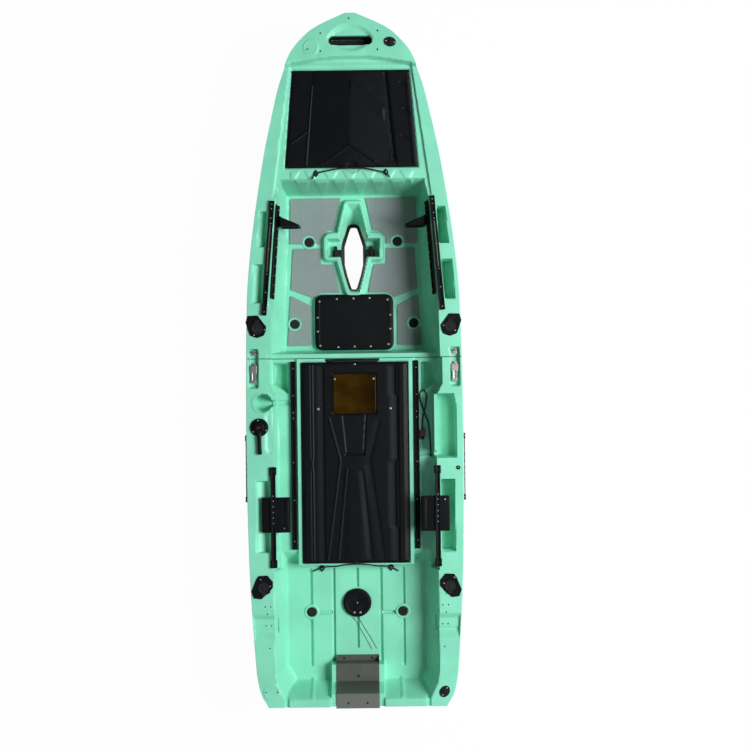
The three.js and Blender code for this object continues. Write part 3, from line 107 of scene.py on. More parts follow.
PLAN = (
    (0, 0.046), (0.006, 0.132), (0.012, 0.223), (0.02, 0.323), (0.029, 0.406), (0.052, 0.542),
    (0.07, 0.594), (0.077, 0.61), (0.104, 0.67), (0.139, 0.722), (0.174, 0.772), (0.209, 0.818),
    (0.279, 0.889), (0.348, 0.946), (0.418, 0.983), (0.627, 1), (0.767, 0.987), (0.836, 0.972),
    (0.906, 0.946), (0.9755, 0.913), (1, 0.82),
)
SECTION = (
    (DECK_SHARE, 1), (1, 0.9), (1, 0.64), (0.97, 0.36), (0.9, 0.12), (0.76, 0), (0.55, 0),
    (0.41, 0.1), (0.29, 0.1), (0.16, 0),
)
WELL_HEAD = (
    (30, 763), (62, 900), (108, 904), (118, 916), (118, 1001), (66, 1003), (24, 1153),
)
WELL_SURROUND = (
    (54, 738), (84, 880), (110, 880), (142, 906), (142, 1026), (88, 1028), (52, 1165),
)
WELL_KEEL = ((14, 855), (28, 898), (41, 940), (41, 1021), (30, 1070), (11, 1131))
WELL_THROAT = (
    (30, 763), (58, 896), (62, 902), (64, 914), (64, 1001), (62, 1003), (24, 1153),
)
SCUPPERS = ((192, 930, COCKPIT), (259, 1286, COCKPIT), (196, 2527, TANKWELL))


# Settings that a user would change


class KayakSizes(bpy.types.PropertyGroup):
    """How finely the surfaces are cut, and the small forms that the eye reads as moulding."""

    row_step: FloatProperty(
        name="Row step", description="Distance between two rows of the hull's surface",
        default=0.0046, min=0.003, unit="LENGTH",
    )
    columns: IntProperty(
        name="Columns", description="Points across the deck in each row", default=195, min=60
    )
    tooth_height: FloatProperty(
        name="Tooth height", description="Height of the raised teeth ahead of the footwell",
        default=0.003, unit="LENGTH",
    )
    groove_depth: FloatProperty(
        name="Groove depth", description="Depth of the drain grooves in the tankwell floor",
        default=0.012, unit="LENGTH",
    )
    bungee_diameter: FloatProperty(
        name="Bungee diameter", description="Diameter of the covered elastic cord",
        default=0.006, unit="LENGTH",
    )


class KayakColours(bpy.types.PropertyGroup):
    """Base colours, as linear values."""

    hull: FloatVectorProperty(
        name="Hull", description="Moulded hull", subtype="COLOR", default=(0.215, 0.69, 0.485)
    )
    plastic: FloatVectorProperty(
        name="Plastic", description="Hatch covers, tracks and fittings", subtype="COLOR",
        default=(0.003, 0.0038, 0.0052),
    )
    rubber: FloatVectorProperty(
        name="Rubber", description="Plugs and grips", subtype="COLOR",
        default=(0.006, 0.0066, 0.0078),
    )
    foam: FloatVectorProperty(
        name="Foam", description="Floor pads", subtype="COLOR", default=(0.235, 0.285, 0.285)
    )
    steel: FloatVectorProperty(
        name="Steel", description="Latches and screws", subtype="COLOR", default=(0.4, 0.42, 0.41)
    )
    sheet: FloatVectorProperty(
        name="Sheet metal", description="Stern bracket", subtype="COLOR",
        default=(0.1, 0.112, 0.103),
    )
    amber: FloatVectorProperty(
        name="Amber", description="Window of the centre hatch", subtype="COLOR",
        default=(0.042, 0.021, 0.0015),
    )
    red: FloatVectorProperty(
        name="Connector", description="Cable connector", subtype="COLOR",
        default=(0.156, 0.0047, 0.022),
    )
    braid: FloatVectorProperty(
        name="Cord", description="Cover of the cords", subtype="COLOR",
        default=(0.0045, 0.005, 0.006),
    )


def sizes():
    """The sizes in the scene's settings."""
    return bpy.context.scene.kayak_sizes


def colours():
    """The base colours in the scene's settings."""
    return bpy.context.scene.kayak_colours


# Shader maths


class Wire:
    """A value in a shader. Its sums and products add Math nodes."""

    def __init__(self, finish, socket):
        self.finish = finish
        self.socket = socket

    def maths(self, operation, *others):
        return self.finish.node("ShaderNodeMath", {"operation": operation}, *others)

    def __add__(self, other):
        return self.maths("ADD", self, other)

    def __radd__(self, other):
        return self.maths("ADD", other, self)

    def __sub__(self, other):
        return self.maths("SUBTRACT", self, other)

    def __rsub__(self, other):
        return self.maths("SUBTRACT", other, self)

    def __mul__(self, other):
        return self.maths("MULTIPLY", self, other)

    def __rmul__(self, other):
        return self.maths("MULTIPLY", other, self)

    def sine(self):
        return self.maths("SINE", self)

    def size(self):
        return self.maths("ABSOLUTE", self)

    def most(self, other):
        return self.maths("MAXIMUM", self, other)

    def ramp(self, low, high):
        """Zero below low, one above high and a smooth step between them."""
        return self.finish.node(
            "ShaderNodeMapRange", {"interpolation_type": "SMOOTHSTEP"}, self, low, high, 0.0, 1.0
        )


class Finish:
    """One material, built up from wires, with its shader at the end."""

    def __init__(self, name):
        self.material = bpy.data.materials.new(name)
        self.material.use_nodes = True
        self.tree = self.material.node_tree
        self.tree.nodes.clear()
        self.output = self.tree.nodes.new("ShaderNodeOutputMaterial")
        self.shader = self.tree.nodes.new("ShaderNodeBsdfPrincipled")
        self.tree.links.new(self.shader.outputs["BSDF"], self.output.inputs["Surface"])

    def node(self, kind, settings, *values, out=0, **named):
        """A node of any kind: settings first, then the values or wires of its sockets."""
        made = self.tree.nodes.new(kind)
        for key, value in settings.items():
            setattr(made, key, value)
        for key, value in list(enumerate(values)) + list(named.items()):
            self.join(made.inputs[key.replace("_", " ") if isinstance(key, str) else key], value)
        return Wire(self, made.outputs[out])

    def join(self, socket, value):
        """Links a wire to a socket, or sets its value."""
        if isinstance(value, Wire):
            self.tree.links.new(value.socket, socket)
        elif value is not None:
            socket.default_value = value

    def place(self, scale=(1, 1, 1)):
        """Object coordinates, scaled."""
        where = self.node("ShaderNodeTexCoord", {}, out="Object")
        return self.node("ShaderNodeMapping", {}, Vector=where, Scale=scale)

    def own_map(self):
        """The piece's own map: share around, then metres along."""
        return self.node("ShaderNodeUVMap", {"uv_map": "UVMap"})

    def parts(self, vector):
        """The three parts of a vector."""
        split = self.node("ShaderNodeSeparateXYZ", {}, vector)
        outputs = split.socket.node.outputs
        return [Wire(self, outputs[axis]) for axis in range(3)]

    def noise(self, vector, scale, detail, rough=0.5):
        return self.node(
            "ShaderNodeTexNoise", {}, Vector=vector, Scale=scale, Detail=detail, Roughness=rough
        )

    def cells(self, vector, scale):
        return self.node("ShaderNodeTexVoronoi", {}, Vector=vector, Scale=scale)

    def mix_colour(self, factor, first, second):
        """A colour between two others."""
        made = self.tree.nodes.new("ShaderNodeMix")
        made.data_type = "RGBA"
        for index, value in ((0, factor), (6, first), (7, second)):
            if isinstance(value, tuple) and len(value) == 3:
                value = (*value, 1.0)
            self.join(made.inputs[index], value)
        return Wire(self, made.outputs[2])

    def shades(self, factor, base, low, high):
        """A colour between two brightnesses of a base colour."""
        return self.mix_colour(factor, lighter(base, low), lighter(base, high))

    def bump(self, height, strength, distance):
        """Relief from a height, in the shading alone."""
        self.join(
            self.shader.inputs["Normal"],
            self.node("ShaderNodeBump", {}, Strength=strength, Distance=distance, Height=height),
        )

    def set(self, **values):
        """Sets the shader's sockets by name and gives the material."""
        for key, value in values.items():
            self.join(self.shader.inputs[key.replace("_", " ")], value)
        return self.material


def lighter(colour, factor):
    """The colour times a factor, each part kept to one."""
    return tuple(min(1.0, part * factor) for part in colour)


def begun(name, colour):
    """A finish with its base colour and Object coordinates."""
    finish = Finish(name)
    return finish, tuple(getattr(colours(), colour)), finish.place()


def hull_finish():
    """Moulded polyethylene: mottling, a fine pebble, keel scuffs and a dark line at the joint."""
    finish, base, where = begun("hull_green_moulded", "hull")
    cloud = finish.noise(where, 7.0, 4.0, 0.6)
    pebble = finish.noise(where, 420.0, 3.0, 0.6)
    scratch = finish.noise(finish.place(scale=(9, 1.2, 9)), 60.0, 5.0, 0.7)
    _, ahead, up = finish.parts(where)
    low = 1 - up.ramp(0.03, 0.14)
    worn = scratch.ramp(0.57, 0.68) * (0.12 + low * 0.5)
    body = finish.shades(cloud.ramp(0.3, 0.7), base, 0.93, 1.05)
    body = finish.mix_colour(worn * 0.5, body, lighter(base, 1.35))
    from_joint = ahead - (BOW - SEAM) / 1000
    joint = 1 - (from_joint * from_joint).ramp(0.8e-6, 6.0e-6)
    body = finish.mix_colour(joint * 0.8, body, lighter(base, 0.1))
    finish.bump(pebble * 0.6 + cloud * 0.8 + worn * 0.4, 0.28, 0.0006)
    return finish.set(
        Base_Color=body, Roughness=0.36 + pebble * 0.14 + worn * 0.2, Specular_IOR_Level=0.45
    )


def plastic_finish():
    """Black plastic with a fine moulded grain and a little dust."""
    finish, base, where = begun("black_plastic_grained", "plastic")
    grain = finish.cells(where, 900.0)
    cloud = finish.noise(where, 24.0, 4.0, 0.6)
    dust = finish.noise(where, 160.0, 3.0, 0.65).ramp(0.55, 0.8) * cloud.ramp(0.4, 0.7)
    body = finish.shades(dust * 0.35, base, 1, 3.6)
    finish.bump(grain + cloud * 0.6, 0.22, 0.0004)
    return finish.set(
        Base_Color=body, Roughness=0.34 + cloud * 0.2 + dust * 0.15, Specular_IOR_Level=0.13
    )


def rubber_finish():
    """Matt rubber with a dry bloom."""
    finish, base, where = begun("black_rubber_matt", "rubber")
    bloom = finish.noise(where, 60.0, 4.0, 0.6)
    fine = finish.noise(where, 700.0, 2.0)
    body = finish.shades(bloom.ramp(0.45, 0.75) * 0.5, base, 1, 3.0)
    finish.bump(fine + bloom * 0.5, 0.2, 0.0004)
    return finish.set(Base_Color=body, Roughness=0.68 + bloom * 0.2, Specular_IOR_Level=0.3)


def foam_finish():
    """Grey deck foam with a brushed nap and thin pressed lines along the boat, the lines coloured
    darker as painted shade in their grooves.
    """
    finish, base, where = begun("pad_foam_brushed", "foam")
    nap = finish.noise(where, 900.0, 3.0, 0.7)
    cloud = finish.noise(where, 18.0, 3.0, 0.6)
    across = finish.parts(where)[0]
    lines = ((across * (math.tau / 0.012)).sine() * 0.5 + 0.5).ramp(0.86, 1.0)
    body = finish.shades(cloud, base, 0.9, 1.08)
    # the pressed lines are coloured darker as painted shade in their grooves; the nap's darker
    # flecks are the foam's own tone
    body = finish.mix_colour(lines * 0.35 + nap.ramp(0.6, 0.8) * 0.15, body, lighter(base, 0.62))
    finish.bump(nap * 0.4 - lines, 0.35, 0.0008)
    return finish.set(Base_Color=body, Roughness=0.82 + nap * 0.12, Specular_IOR_Level=0.25)


def steel_finish():
    """Stainless steel with brush marks along the boat and faint handling marks."""
    finish, base, where = begun("brushed_steel_fine", "steel")
    brush = finish.noise(finish.place(scale=(1, 0.02, 1)), 2600.0, 3.0)
    marks = finish.noise(where, 90.0, 3.0, 0.6)
    finish.bump(brush, 0.12, 0.0002)
    return finish.set(Base_Color=finish.shades(marks, base, 0.86, 1.1), Metallic=1.0,
                      Roughness=0.36 + marks * 0.18)


def sheet_finish():
    """Grey sheet metal, brushed across, with a dull film in patches; the high flat is coloured
    lighter, as painted light.
    """
    finish, base, where = begun("brushed_aluminium_dull", "sheet")
    brush = finish.noise(finish.place(scale=(0.03, 1, 1)), 1800.0, 3.0)
    film = finish.noise(where, 22.0, 4.0, 0.6)
    # painted light: the high flat, above about 0.312 m, is coloured lighter than the rest of the
    # sheet
    lit_high_flat = finish.parts(where)[2].ramp(0.312, 0.322)
    body = finish.mix_colour(lit_high_flat, finish.shades(film, base, 0.85, 1.2), lighter(base, 1.7))
    finish.bump(brush, 0.15, 0.0002)
    return finish.set(Base_Color=body, Metallic=0.55, Roughness=0.4 + film * 0.2)


def amber_finish():
    """Smoked amber sheet: deep colour in patches, painted shade that darkens it towards starboard,
    and a low gloss.
    """
    finish, base, where = begun("smoked_amber_gloss", "amber")
    depth = finish.noise(where, 14.0, 3.0)
    fine = finish.noise(where, 300.0, 2.0)
    # painted shade: the sheet is coloured darker towards starboard
    dark = finish.parts(where)[0].ramp(-0.02, 0.09)
    body = finish.shades(depth.ramp(0.35, 0.7), base, 0.55, 1)
    body = finish.mix_colour(dark * 0.7, body, lighter(base, 0.2))
    finish.bump(fine, 0.05, 0.0002)
    return finish.set(
        Base_Color=body, Roughness=0.24 + fine * 0.06, Specular_IOR_Level=0.06
    )


def red_finish():
    """Dark red moulded plastic."""
    finish, base, where = begun("connector_red_moulded", "red")
    cloud = finish.noise(where, 80.0, 3.0)
    finish.bump(finish.cells(where, 1400.0), 0.12, 0.0002)
    return finish.set(Base_Color=finish.shades(cloud, base, 0.85, 1.2),
                      Roughness=0.3 + cloud * 0.12)


def braid_finish():
    """Woven cover: two sets of strands that cross, drawn on the cord's own map, with painted
    highlight on the strands' crests and painted shade between them.
    """
    finish, base, where = begun("braid_black_woven", "braid")
    around, metres, _ = finish.parts(finish.own_map())
    lean, pitch = around * (math.tau * 4), metres * (math.tau / 0.006)
    weave = (lean + pitch).sine().size().most((lean - pitch).sine().size())
    fibre = finish.noise(where, 1800.0, 2.0)
    # painted light: the weave's crests are coloured lighter as painted highlight and its hollows
    # darker as painted shade
    body = finish.shades(weave.ramp(0.5, 1.0) * 0.8 + fibre * 0.2, base, 0.6, 3.2)
    finish.bump(weave + fibre * 0.3, 0.5, 0.0006)
    return finish.set(Base_Color=body, Roughness=0.6 + fibre * 0.2, Specular_IOR_Level=0.35)


FINISHES = {
    HULL: hull_finish,
    PLASTIC: plastic_finish,
    RUBBER: rubber_finish,
    FOAM: foam_finish,
    STEEL: steel_finish,
    SHEET: sheet_finish,
    AMBER: amber_finish,
    RED: red_finish,
    BRAID: braid_finish,
}
made_finishes = {}


def finish_of(slot):
    """The material of a slot, made when it is first asked for."""
    if slot not in made_finishes:
        made_finishes[slot] = FINISHES[slot]()
    return made_finishes[slot]


# Shape tools: every shape is an array of points in millimetres and a list of faces


def placed(points):
    """Across, behind the bow tip and up, in millimetres, to the frame's metres."""
    points = np.asarray(points, float)
    return np.stack([points[:, 0], BOW - points[:, 1], points[:, 2]], -1) / 1000


def least(*values):
    """The least of several values at each point."""
    return functools.reduce(np.minimum, values)


def greatest(*values):
    """The greatest of several values at each point."""
    return functools.reduce(np.maximum, values)


def soft(value):
    """A smooth step: zero below 0, one above 1 and 3t2 - 2t3 between."""
    t = np.clip(value, 0, 1)
    return t * t * (3 - 2 * t)


def ease(value):
    """A straight ramp between 0 and 1 with slightly rounded ends."""
    t = np.clip(value, 0, 1)
    return 0.65 * t + 0.35 * soft(t)


def sunk(z, depth_inside, floor, run):
    """z carried down or up to a floor, over a run inside an outline."""
    return z + (floor - z) * soft(depth_inside / run)


def from_edge(x, d, x0, d0, x1, d1):
    """Distance from a straight edge: from its nearest point, kept between its two ends."""
    ex, ed = x1 - x0, d1 - d0
    t = np.clip(((x - x0) * ex + (d - d0) * ed) / (ex * ex + ed * ed), 0, 1)
    return np.hypot(x - x0 - t * ex, d - d0 - t * ed)


def off_line(x, d, points):
    """Distance from a line of points: the least distance to any of its edges."""
    near = np.full(np.shape(x), np.inf)
    for start, end in zip(points, points[1:]):
        near = np.minimum(near, from_edge(x, d, *start, *end))
    return near


def mark(x, d, points, width, core=1):
    """One on a line of points and out to its core, then a smooth fall to zero over a width."""
    return 1 - soft((off_line(x, d, points) - core) / width)


def inside(x, d, outline):
    """Distance to a closed outline, above zero inside it: the least distance to any edge."""
    corners = [tuple(corner) for corner in outline]
    closed = corners + corners[:1]
    within = np.zeros(np.shape(x), bool)
    for (x0, d0), (x1, d1) in zip(corners, closed[1:]):
        if d0 != d1:
            crosses = (d0 > d) != (d1 > d)
            within ^= crosses & (x < (x1 - x0) * (d - d0) / (d1 - d0) + x0)
    near = off_line(x, d, closed)
    return np.where(within, near, -near)


def mirrored(rows):
    """A closed outline from half widths at rows from bow to stern."""
    return [(half, d) for half, d in rows] + [(-half, d) for half, d in reversed(rows)]


def in_box(x, d, x0, x1, d0, d1, corner):
    """Distance inside a rectangle with rounded corners."""
    ox = np.abs(x - (x0 + x1) / 2) - (x1 - x0) / 2 + corner
    od = np.abs(d - (d0 + d1) / 2) - (d1 - d0) / 2 + corner
    beyond = np.hypot(np.maximum(ox, 0), np.maximum(od, 0))
    return corner - beyond - np.minimum(np.maximum(ox, od), 0)


def cut_corners(points):
    """An open line whose corners are cut twice, at a quarter of each edge, its ends kept."""
    line = np.asarray(points, float)
    for _ in range(2):
        near = line[:-1] * 0.75 + line[1:] * 0.25
        far = line[:-1] * 0.25 + line[1:] * 0.75
        line = np.concatenate([line[:1], np.stack([near, far], 1).reshape(-1, 2), line[-1:]])
    return line


def rounded(outline, radius, steps=5):
    """A closed outline whose corners are arcs, each as large as its edges allow."""
    corners = np.asarray(outline, float)
    made = []
    for before, corner, after in zip(np.roll(corners, 1, 0), corners, np.roll(corners, -1, 0)):
        back, on = before - corner, after - corner
        reach = min(np.linalg.norm(back), np.linalg.norm(on)) * 0.49
        back, on = back / np.linalg.norm(back), on / np.linalg.norm(on)
        turn = math.acos(float(np.clip(back @ on, -0.9999, 0.9999)))
        step = min(radius / math.tan(turn / 2), reach)
        t = np.linspace(0, 1, steps)[:, None]
        start, end = corner + back * step, corner + on * step
        made.append((1 - t) ** 2 * start + 2 * t * (1 - t) * corner + t * t * end)
    return np.concatenate(made)


def drawn_in(outline, inset):
    """The outline moved inwards along the mean of its two edges' normals."""
    ahead = np.roll(outline, -1, 0) - outline
    length = np.linalg.norm(ahead, axis=1, keepdims=True)
    length[length < 1e-9] = 1
    normal = np.stack([-ahead[:, 1], ahead[:, 0]], -1) / length
    area = np.sum(outline[:, 0] * np.roll(outline[:, 1], -1)
                  - outline[:, 1] * np.roll(outline[:, 0], -1))
    both = normal + np.roll(normal, 1, 0)
    both /= np.maximum(np.linalg.norm(both, axis=1, keepdims=True), 1e-9)
    return outline + both * inset * (1 if area > 0 else -1)


def rings(points, closed_ends=True):
    """Rows of closed rings joined by quads, with a cap over each end."""
    rows, around = points.shape[:2]
    index = np.arange(rows * around).reshape(rows, around)
    after = np.roll(index, -1, 1)
    quads = np.stack([index[:-1], after[:-1], after[1:], index[1:]], -1).reshape(-1, 4)
    caps = [index[0].tolist(), index[-1].tolist()] if closed_ends else []
    return points.reshape(-1, 3), quads.tolist() + caps


def steady(value):
    """The same width or height everywhere."""
    return lambda x, *_: np.full(np.shape(x), value)


def slab(rows, half, top, bottom, columns, edge, centre=0.0):
    """A plate: at each row, columns across from side to side on top and back underneath.

    The top falls by the edge value over the last columns, as a quarter round.
    """
    even = np.linspace(-1, 1, columns)
    share = np.sin(even * math.pi / 2) * 0.15 + even * 0.85
    d = np.repeat(rows[:, None], columns, 1)
    wide = half(rows)[:, None]
    x = centre + share[None, :] * wide
    ends = least(d - rows[0], rows[-1] - d, wide - np.abs(x - centre))
    fall = edge * (1 - np.sqrt(1 - (1 - np.clip(ends / edge, 0, 1)) ** 2))
    over = np.stack([x, d, top(x, d) - fall], -1)
    under = np.stack([x, d, bottom(x, d)], -1)[:, ::-1]
    return rings(np.concatenate([over, under], 1))


def level(outline, z):
    """The points of an outline at one height, or each at its own."""
    return np.concatenate([outline, np.full((len(outline), 1), z)], 1)


def prism(outline, levels):
    """A closed outline carried through levels of inset and height, with both ends capped."""
    return rings(np.stack([level(drawn_in(outline, inset), z) for inset, z in levels]))


def block(x0, x1, d0, d1, z0, z1, corner, edge):
    """A block with rounded upright corners and a small round along its top edge."""
    (x0, x1), (d0, d1) = sorted((x0, x1)), sorted((d0, d1))
    outline = rounded([(x0, d0), (x1, d0), (x1, d1), (x0, d1)], corner, 4)
    levels = [(0, z0), (0, z1 - edge), (edge * 0.3, z1 - edge * 0.3), (edge, z1)]
    return prism(outline, levels)


def whole_turn(count):
    """Angles evenly round a whole turn."""
    return np.linspace(0, math.tau, count, endpoint=False)


def circle(x, d, radius, count):
    """Points evenly round a circle."""
    angle = whole_turn(count)
    return np.stack([x + radius * np.cos(angle), d + radius * np.sin(angle)], -1)


def turned(x, d, z, profile, around, flute=0.0, flutes=0):
    """A profile of radius and height turned about an upright axis, with closed poles.

    Where flutes are asked for, the widest part swells and shrinks as a cosine round it.
    """
    angle = whole_turn(around)
    profile = np.asarray(profile, float)
    r = profile[:, :1]
    if flutes:
        r = r * (1 + flute * np.cos(angle * flutes) * (r > profile[:, 0].max() * 0.9))
    points = [x + r * np.cos(angle), d + r * np.sin(angle), z + profile[:, 1:] + 0 * angle]
    return rings(np.stack(points, -1), False)


def ring_turned(x, d, z, profile, around=48):
    """A closed profile turned about an upright axis: a ring with no poles."""
    return turned(x, d, z, [*profile, profile[0]], around)


def along(points, radius, around, flat=1.0):
    """A tube on a line of points, its rings square to the line. Flat squashes it upright."""
    points = np.asarray(points, float)
    ahead = np.gradient(points, axis=0)
    ahead /= np.linalg.norm(ahead, axis=1, keepdims=True)
    up = np.tile([0.0, 0.0, 1.0], (len(points), 1))
    up[np.abs(ahead[:, 2]) > 0.9] = (0.0, 1.0, 0.0)
    side = np.cross(ahead, up)
    side /= np.linalg.norm(side, axis=1, keepdims=True)
    up = np.cross(side, ahead)
    angle = whole_turn(around)[None, :, None]
    radius = np.broadcast_to(np.asarray(radius, float), (len(points),))[:, None, None]
    offset = np.cos(angle) * side[:, None] + np.sin(angle) * up[:, None] * flat
    return rings(points[:, None] + radius * offset)


def gone_along(points):
    """The distance gone along a line of points, at each of them."""
    return np.concatenate([[0], np.cumsum(np.linalg.norm(np.diff(points, axis=0), axis=1))])


def blend(t, start, end, first, second):
    """A straight blend: the first value where t is the start, the second where it is the end."""
    return (end - t) / (end - start) * first + (t - start) / (end - start) * second


def curve_through(points, step):
    """A centripetal curve through the points, sampled at even steps.

    Its knots lie the square root of a distance apart, and each stretch is a blend of blends.
    """
    p = np.asarray(points, float)
    p = np.concatenate([[2 * p[0] - p[1]], p, [2 * p[-1] - p[-2]]])
    apart = np.sqrt(np.linalg.norm(np.diff(p, axis=0), axis=1))
    knots = np.concatenate([[0], np.cumsum(apart)])
    dense = []
    for i in range(len(p) - 3):
        k = knots[i:i + 4]
        t = np.linspace(k[1], k[2], 24, endpoint=False)[:, None]
        single = [blend(t, k[j], k[j + 1], p[i + j], p[i + j + 1]) for j in range(3)]
        double = [blend(t, k[j], k[j + 2], single[j], single[j + 1]) for j in range(2)]
        dense.append(blend(t, k[1], k[2], *double))
    line = np.concatenate(dense + [p[-2:-1]])
    gone = gone_along(line)
    at = np.linspace(0, gone[-1], max(4, int(gone[-1] / step) + 1))
    return np.stack([np.interp(at, gone, line[:, axis]) for axis in range(3)], -1)


def screw(x, d, z, r, height):
    """A pan head with a recess: its profile turned about the screw's axis."""
    profile = ((0, -0.2), (r, -0.2), (r, height * 0.35), (r * 0.85, height * 0.8),
               (r * 0.55, height), (r * 0.42, height), (r * 0.34, height * 0.45),
               (0, height * 0.45))
    return turned(x, d, z, profile, 20)


def mesh_of(name, shapes):
    """One mesh of several shapes, the points of each counted on from the one before."""
    counts = np.cumsum([0] + [len(points) for points, _ in shapes]).tolist()
    faces = [[i + first for i in face] for (_, part), first in zip(shapes, counts)
             for face in part]
    points = placed(np.concatenate([np.asarray(part, float) for part, _ in shapes]))
    mesh = bpy.data.meshes.new(name)
    mesh.from_pydata(points.tolist(), [], faces)
    return mesh


def tidied(mesh):
    """The mesh with its doubled points merged and its faces turned outwards."""
    work = bmesh.new()
    work.from_mesh(mesh)
    bmesh.ops.remove_doubles(work, verts=work.verts, dist=1e-6)
    bmesh.ops.dissolve_degenerate(work, edges=work.edges, dist=1e-7)
    bmesh.ops.recalc_face_normals(work, faces=work.faces)
    work.to_mesh(mesh)
    work.free()
    return mesh


def shown(name, data):
    """An object of the data, linked to the scene."""
    made = bpy.data.objects.new(name, data)
    bpy.context.scene.collection.objects.link(made)
    return made


class Piece:
    """Gathers shapes into one mesh, each with its own material slot."""

    def __init__(self, name, body, *nodes):
        self.name, self.body, self.nodes = name, body, nodes
        self.shapes, self.slots = [], []

    def add(self, shape, slot):
        """Takes a shape and the material slot of its faces."""
        self.shapes.append(shape)
        self.slots.append(slot)

    def rod(self, start, end, radius, around, slot, steps=8):
        """A straight round bar."""
        self.add(along(np.linspace(start, end, steps), radius, around), slot)

    def screws(self, places, z, radius, height, slot=STEEL):
        """A screw at each place across and behind the bow, all at one height."""
        for x, d in places:
            self.add(screw(x, d, z, radius, height), slot)

    def finish(self, sharp=38):
        """The mesh as an object, smooth but for edges with a turn above the sharp angle."""
        used = list(dict.fromkeys(self.slots))
        mesh = mesh_of(self.name, self.shapes)
        mesh.polygons.foreach_set("material_index", [
            used.index(slot) for (_, faces), slot in zip(self.shapes, self.slots) for _ in faces
        ])
        for slot in used:
            mesh.materials.append(finish_of(slot))
        tidied(mesh).shade_smooth()
        mesh.set_sharp_from_angle(angle=math.radians(sharp))
        piece = shown(self.name, mesh)
        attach(piece, self.body)
        if self.nodes:
            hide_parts(*self.nodes)
        return piece


def sided(piece, node, side, body="hull"):
    """The piece of one side, with port or starboard at the end of its names."""
    end = "_" + NAMES[side]
    return Piece(piece + end, body if body == "hull" else body + end, node + end)


# Hull


def half_beam(d):
    """Half the width of the hull at each distance behind the bow tip."""
    plan = cut_corners(PLAN)
    return np.interp(np.asarray(d, float) / LENGTH, plan[:, 0], plan[:, 1]) * HALF_BEAM


def front_cover_half(d):
    """Half the width of the front cover, wider towards the footwell."""
    return np.interp(d, [232, 640], [245, 279])


def footwell_half(d):
    """Half the width of the footwell at its top, wider towards the seam."""
    return np.interp(d, [692, 780, 1250, 1438], [300, 318, 352, 358])


def keel(d):
    """Height of the keel: it rises as a square towards the bow and a little at the stern."""
    ahead = np.maximum(0, 1 - d / 900) ** 2 * 190
    return ahead + np.maximum(0, 1 - (LENGTH - d) / 450) ** 2 * 24


def keel_opening():
    """The outline of the drive well where it goes through the bottom."""
    return rounded(mirrored(WELL_KEEL), 12)


def leaned(beside, inner, outer, low, high):
    """A pocket's floor: flat inboard, then leaning up towards the gunwale."""
    return low + (high - low) * np.clip((beside - inner) / (outer - inner), 0, 1)


def pocket_floor(x, inner):
    """Side pockets: shallow to port, deep to starboard, both rising towards the gunwale."""
    port = leaned(-x, inner, inner + 38, 297, 319)
    return np.where(x < 0, port, leaned(x, inner, inner + 40, 252, 276))


def latch_recess(z, x, d):
    """z sunk to the flat bed under each latch."""
    return sunk(z, in_box(np.abs(x), d, LATCH - 21, LATCH + 21, 1396, 1561, 8), 308, 5)


def rod_hole(z, x, d, place):
    """z sunk into the round hole on each side that takes a rod holder's tube."""
    across, behind = ROD_HOLDERS[place]
    return sunk(z, 30 - np.hypot(np.abs(x) - across, d - behind), 176, 4)


def boss(x, d, radius):
    """A low round boss whose middle is sunk a little, centred on x = 0 and d = 0."""
    disc = radius - np.hypot(x, d)
    return 2.5 * soft(disc / 3) - 1.2 * soft((disc - 5) / 3)


def bow_deck(x, d):
    """Height of the deck ahead of the seam, feature after feature from bow to seam."""
    ax = np.abs(x)
    low = keel(d)
    z = DECK + 22 * (1 - soft((d - 176 - 26 * (ax / 236) ** 2) / 14))
    dish = np.minimum(115.8 - np.hypot(x, d - 48.2), 115.8 - np.hypot(x, d - 157.8))
    z = z - 11 * soft(dish / 22)
    z = sunk(z, 20 - np.hypot(np.maximum(ax - GRIP_REACH, 0), d - GRIP), 290, 5)
    z = z + boss(x + 164, d - 143, 33)
    surround = np.interp(d, [192, 644, 757], [254, 319, 335])
    z = z - 10 * soft((surround - ax) / 6) * soft((d - 200) / 14) * (1 - soft((d - 745) / 24))
    half = front_cover_half(d) + 0.6
    hatch = least(half - ax, d - 231.4, 640.8 - d)
    z = sunk(z, hatch + 4.5, 314, 4.5)
    z = np.where(d > 600, sunk(z, 45 - np.hypot(x, d - 622), 314, 6), z)
    bowl = np.minimum(308, low + 16 + (292 - low) * (ax / half) ** 3)
    z = sunk(z, hatch - 30, bowl, 10)
    foot_half = footwell_half(d)
    foot = np.interp(d, [780, 1250], [286, 300])
    side = z - (z - PLATFORM) * soft((foot_half + 4 - ax) / 9)
    side = side - (PLATFORM - COCKPIT) * ease((foot_half - ax) / (foot_half - foot))
    ahead = z - (z - COCKPIT) * soft((d - 686) / 42)
    aft = COCKPIT + (PLATFORM - COCKPIT) * ease((d - 1404) / 14)
    z = np.where(d > 690, np.minimum(z, greatest(side, ahead, aft)), z)
    for rise, start, end, centre in ((1.3, 652, 688, -8), (5.0, 692, 722, -48)):
        swing = (x - centre + 40) % 80 - 40
        wide = np.interp(d, [start, end], [33, 11])
        tooth = least(wide - np.abs(swing), d - start, end - d, 258 - ax)
        z = z + sizes().tooth_height * 1000 * rise * soft(tooth / 4) * (hatch < -4)
    return footwell(latch_recess(z, x, d), x, d)


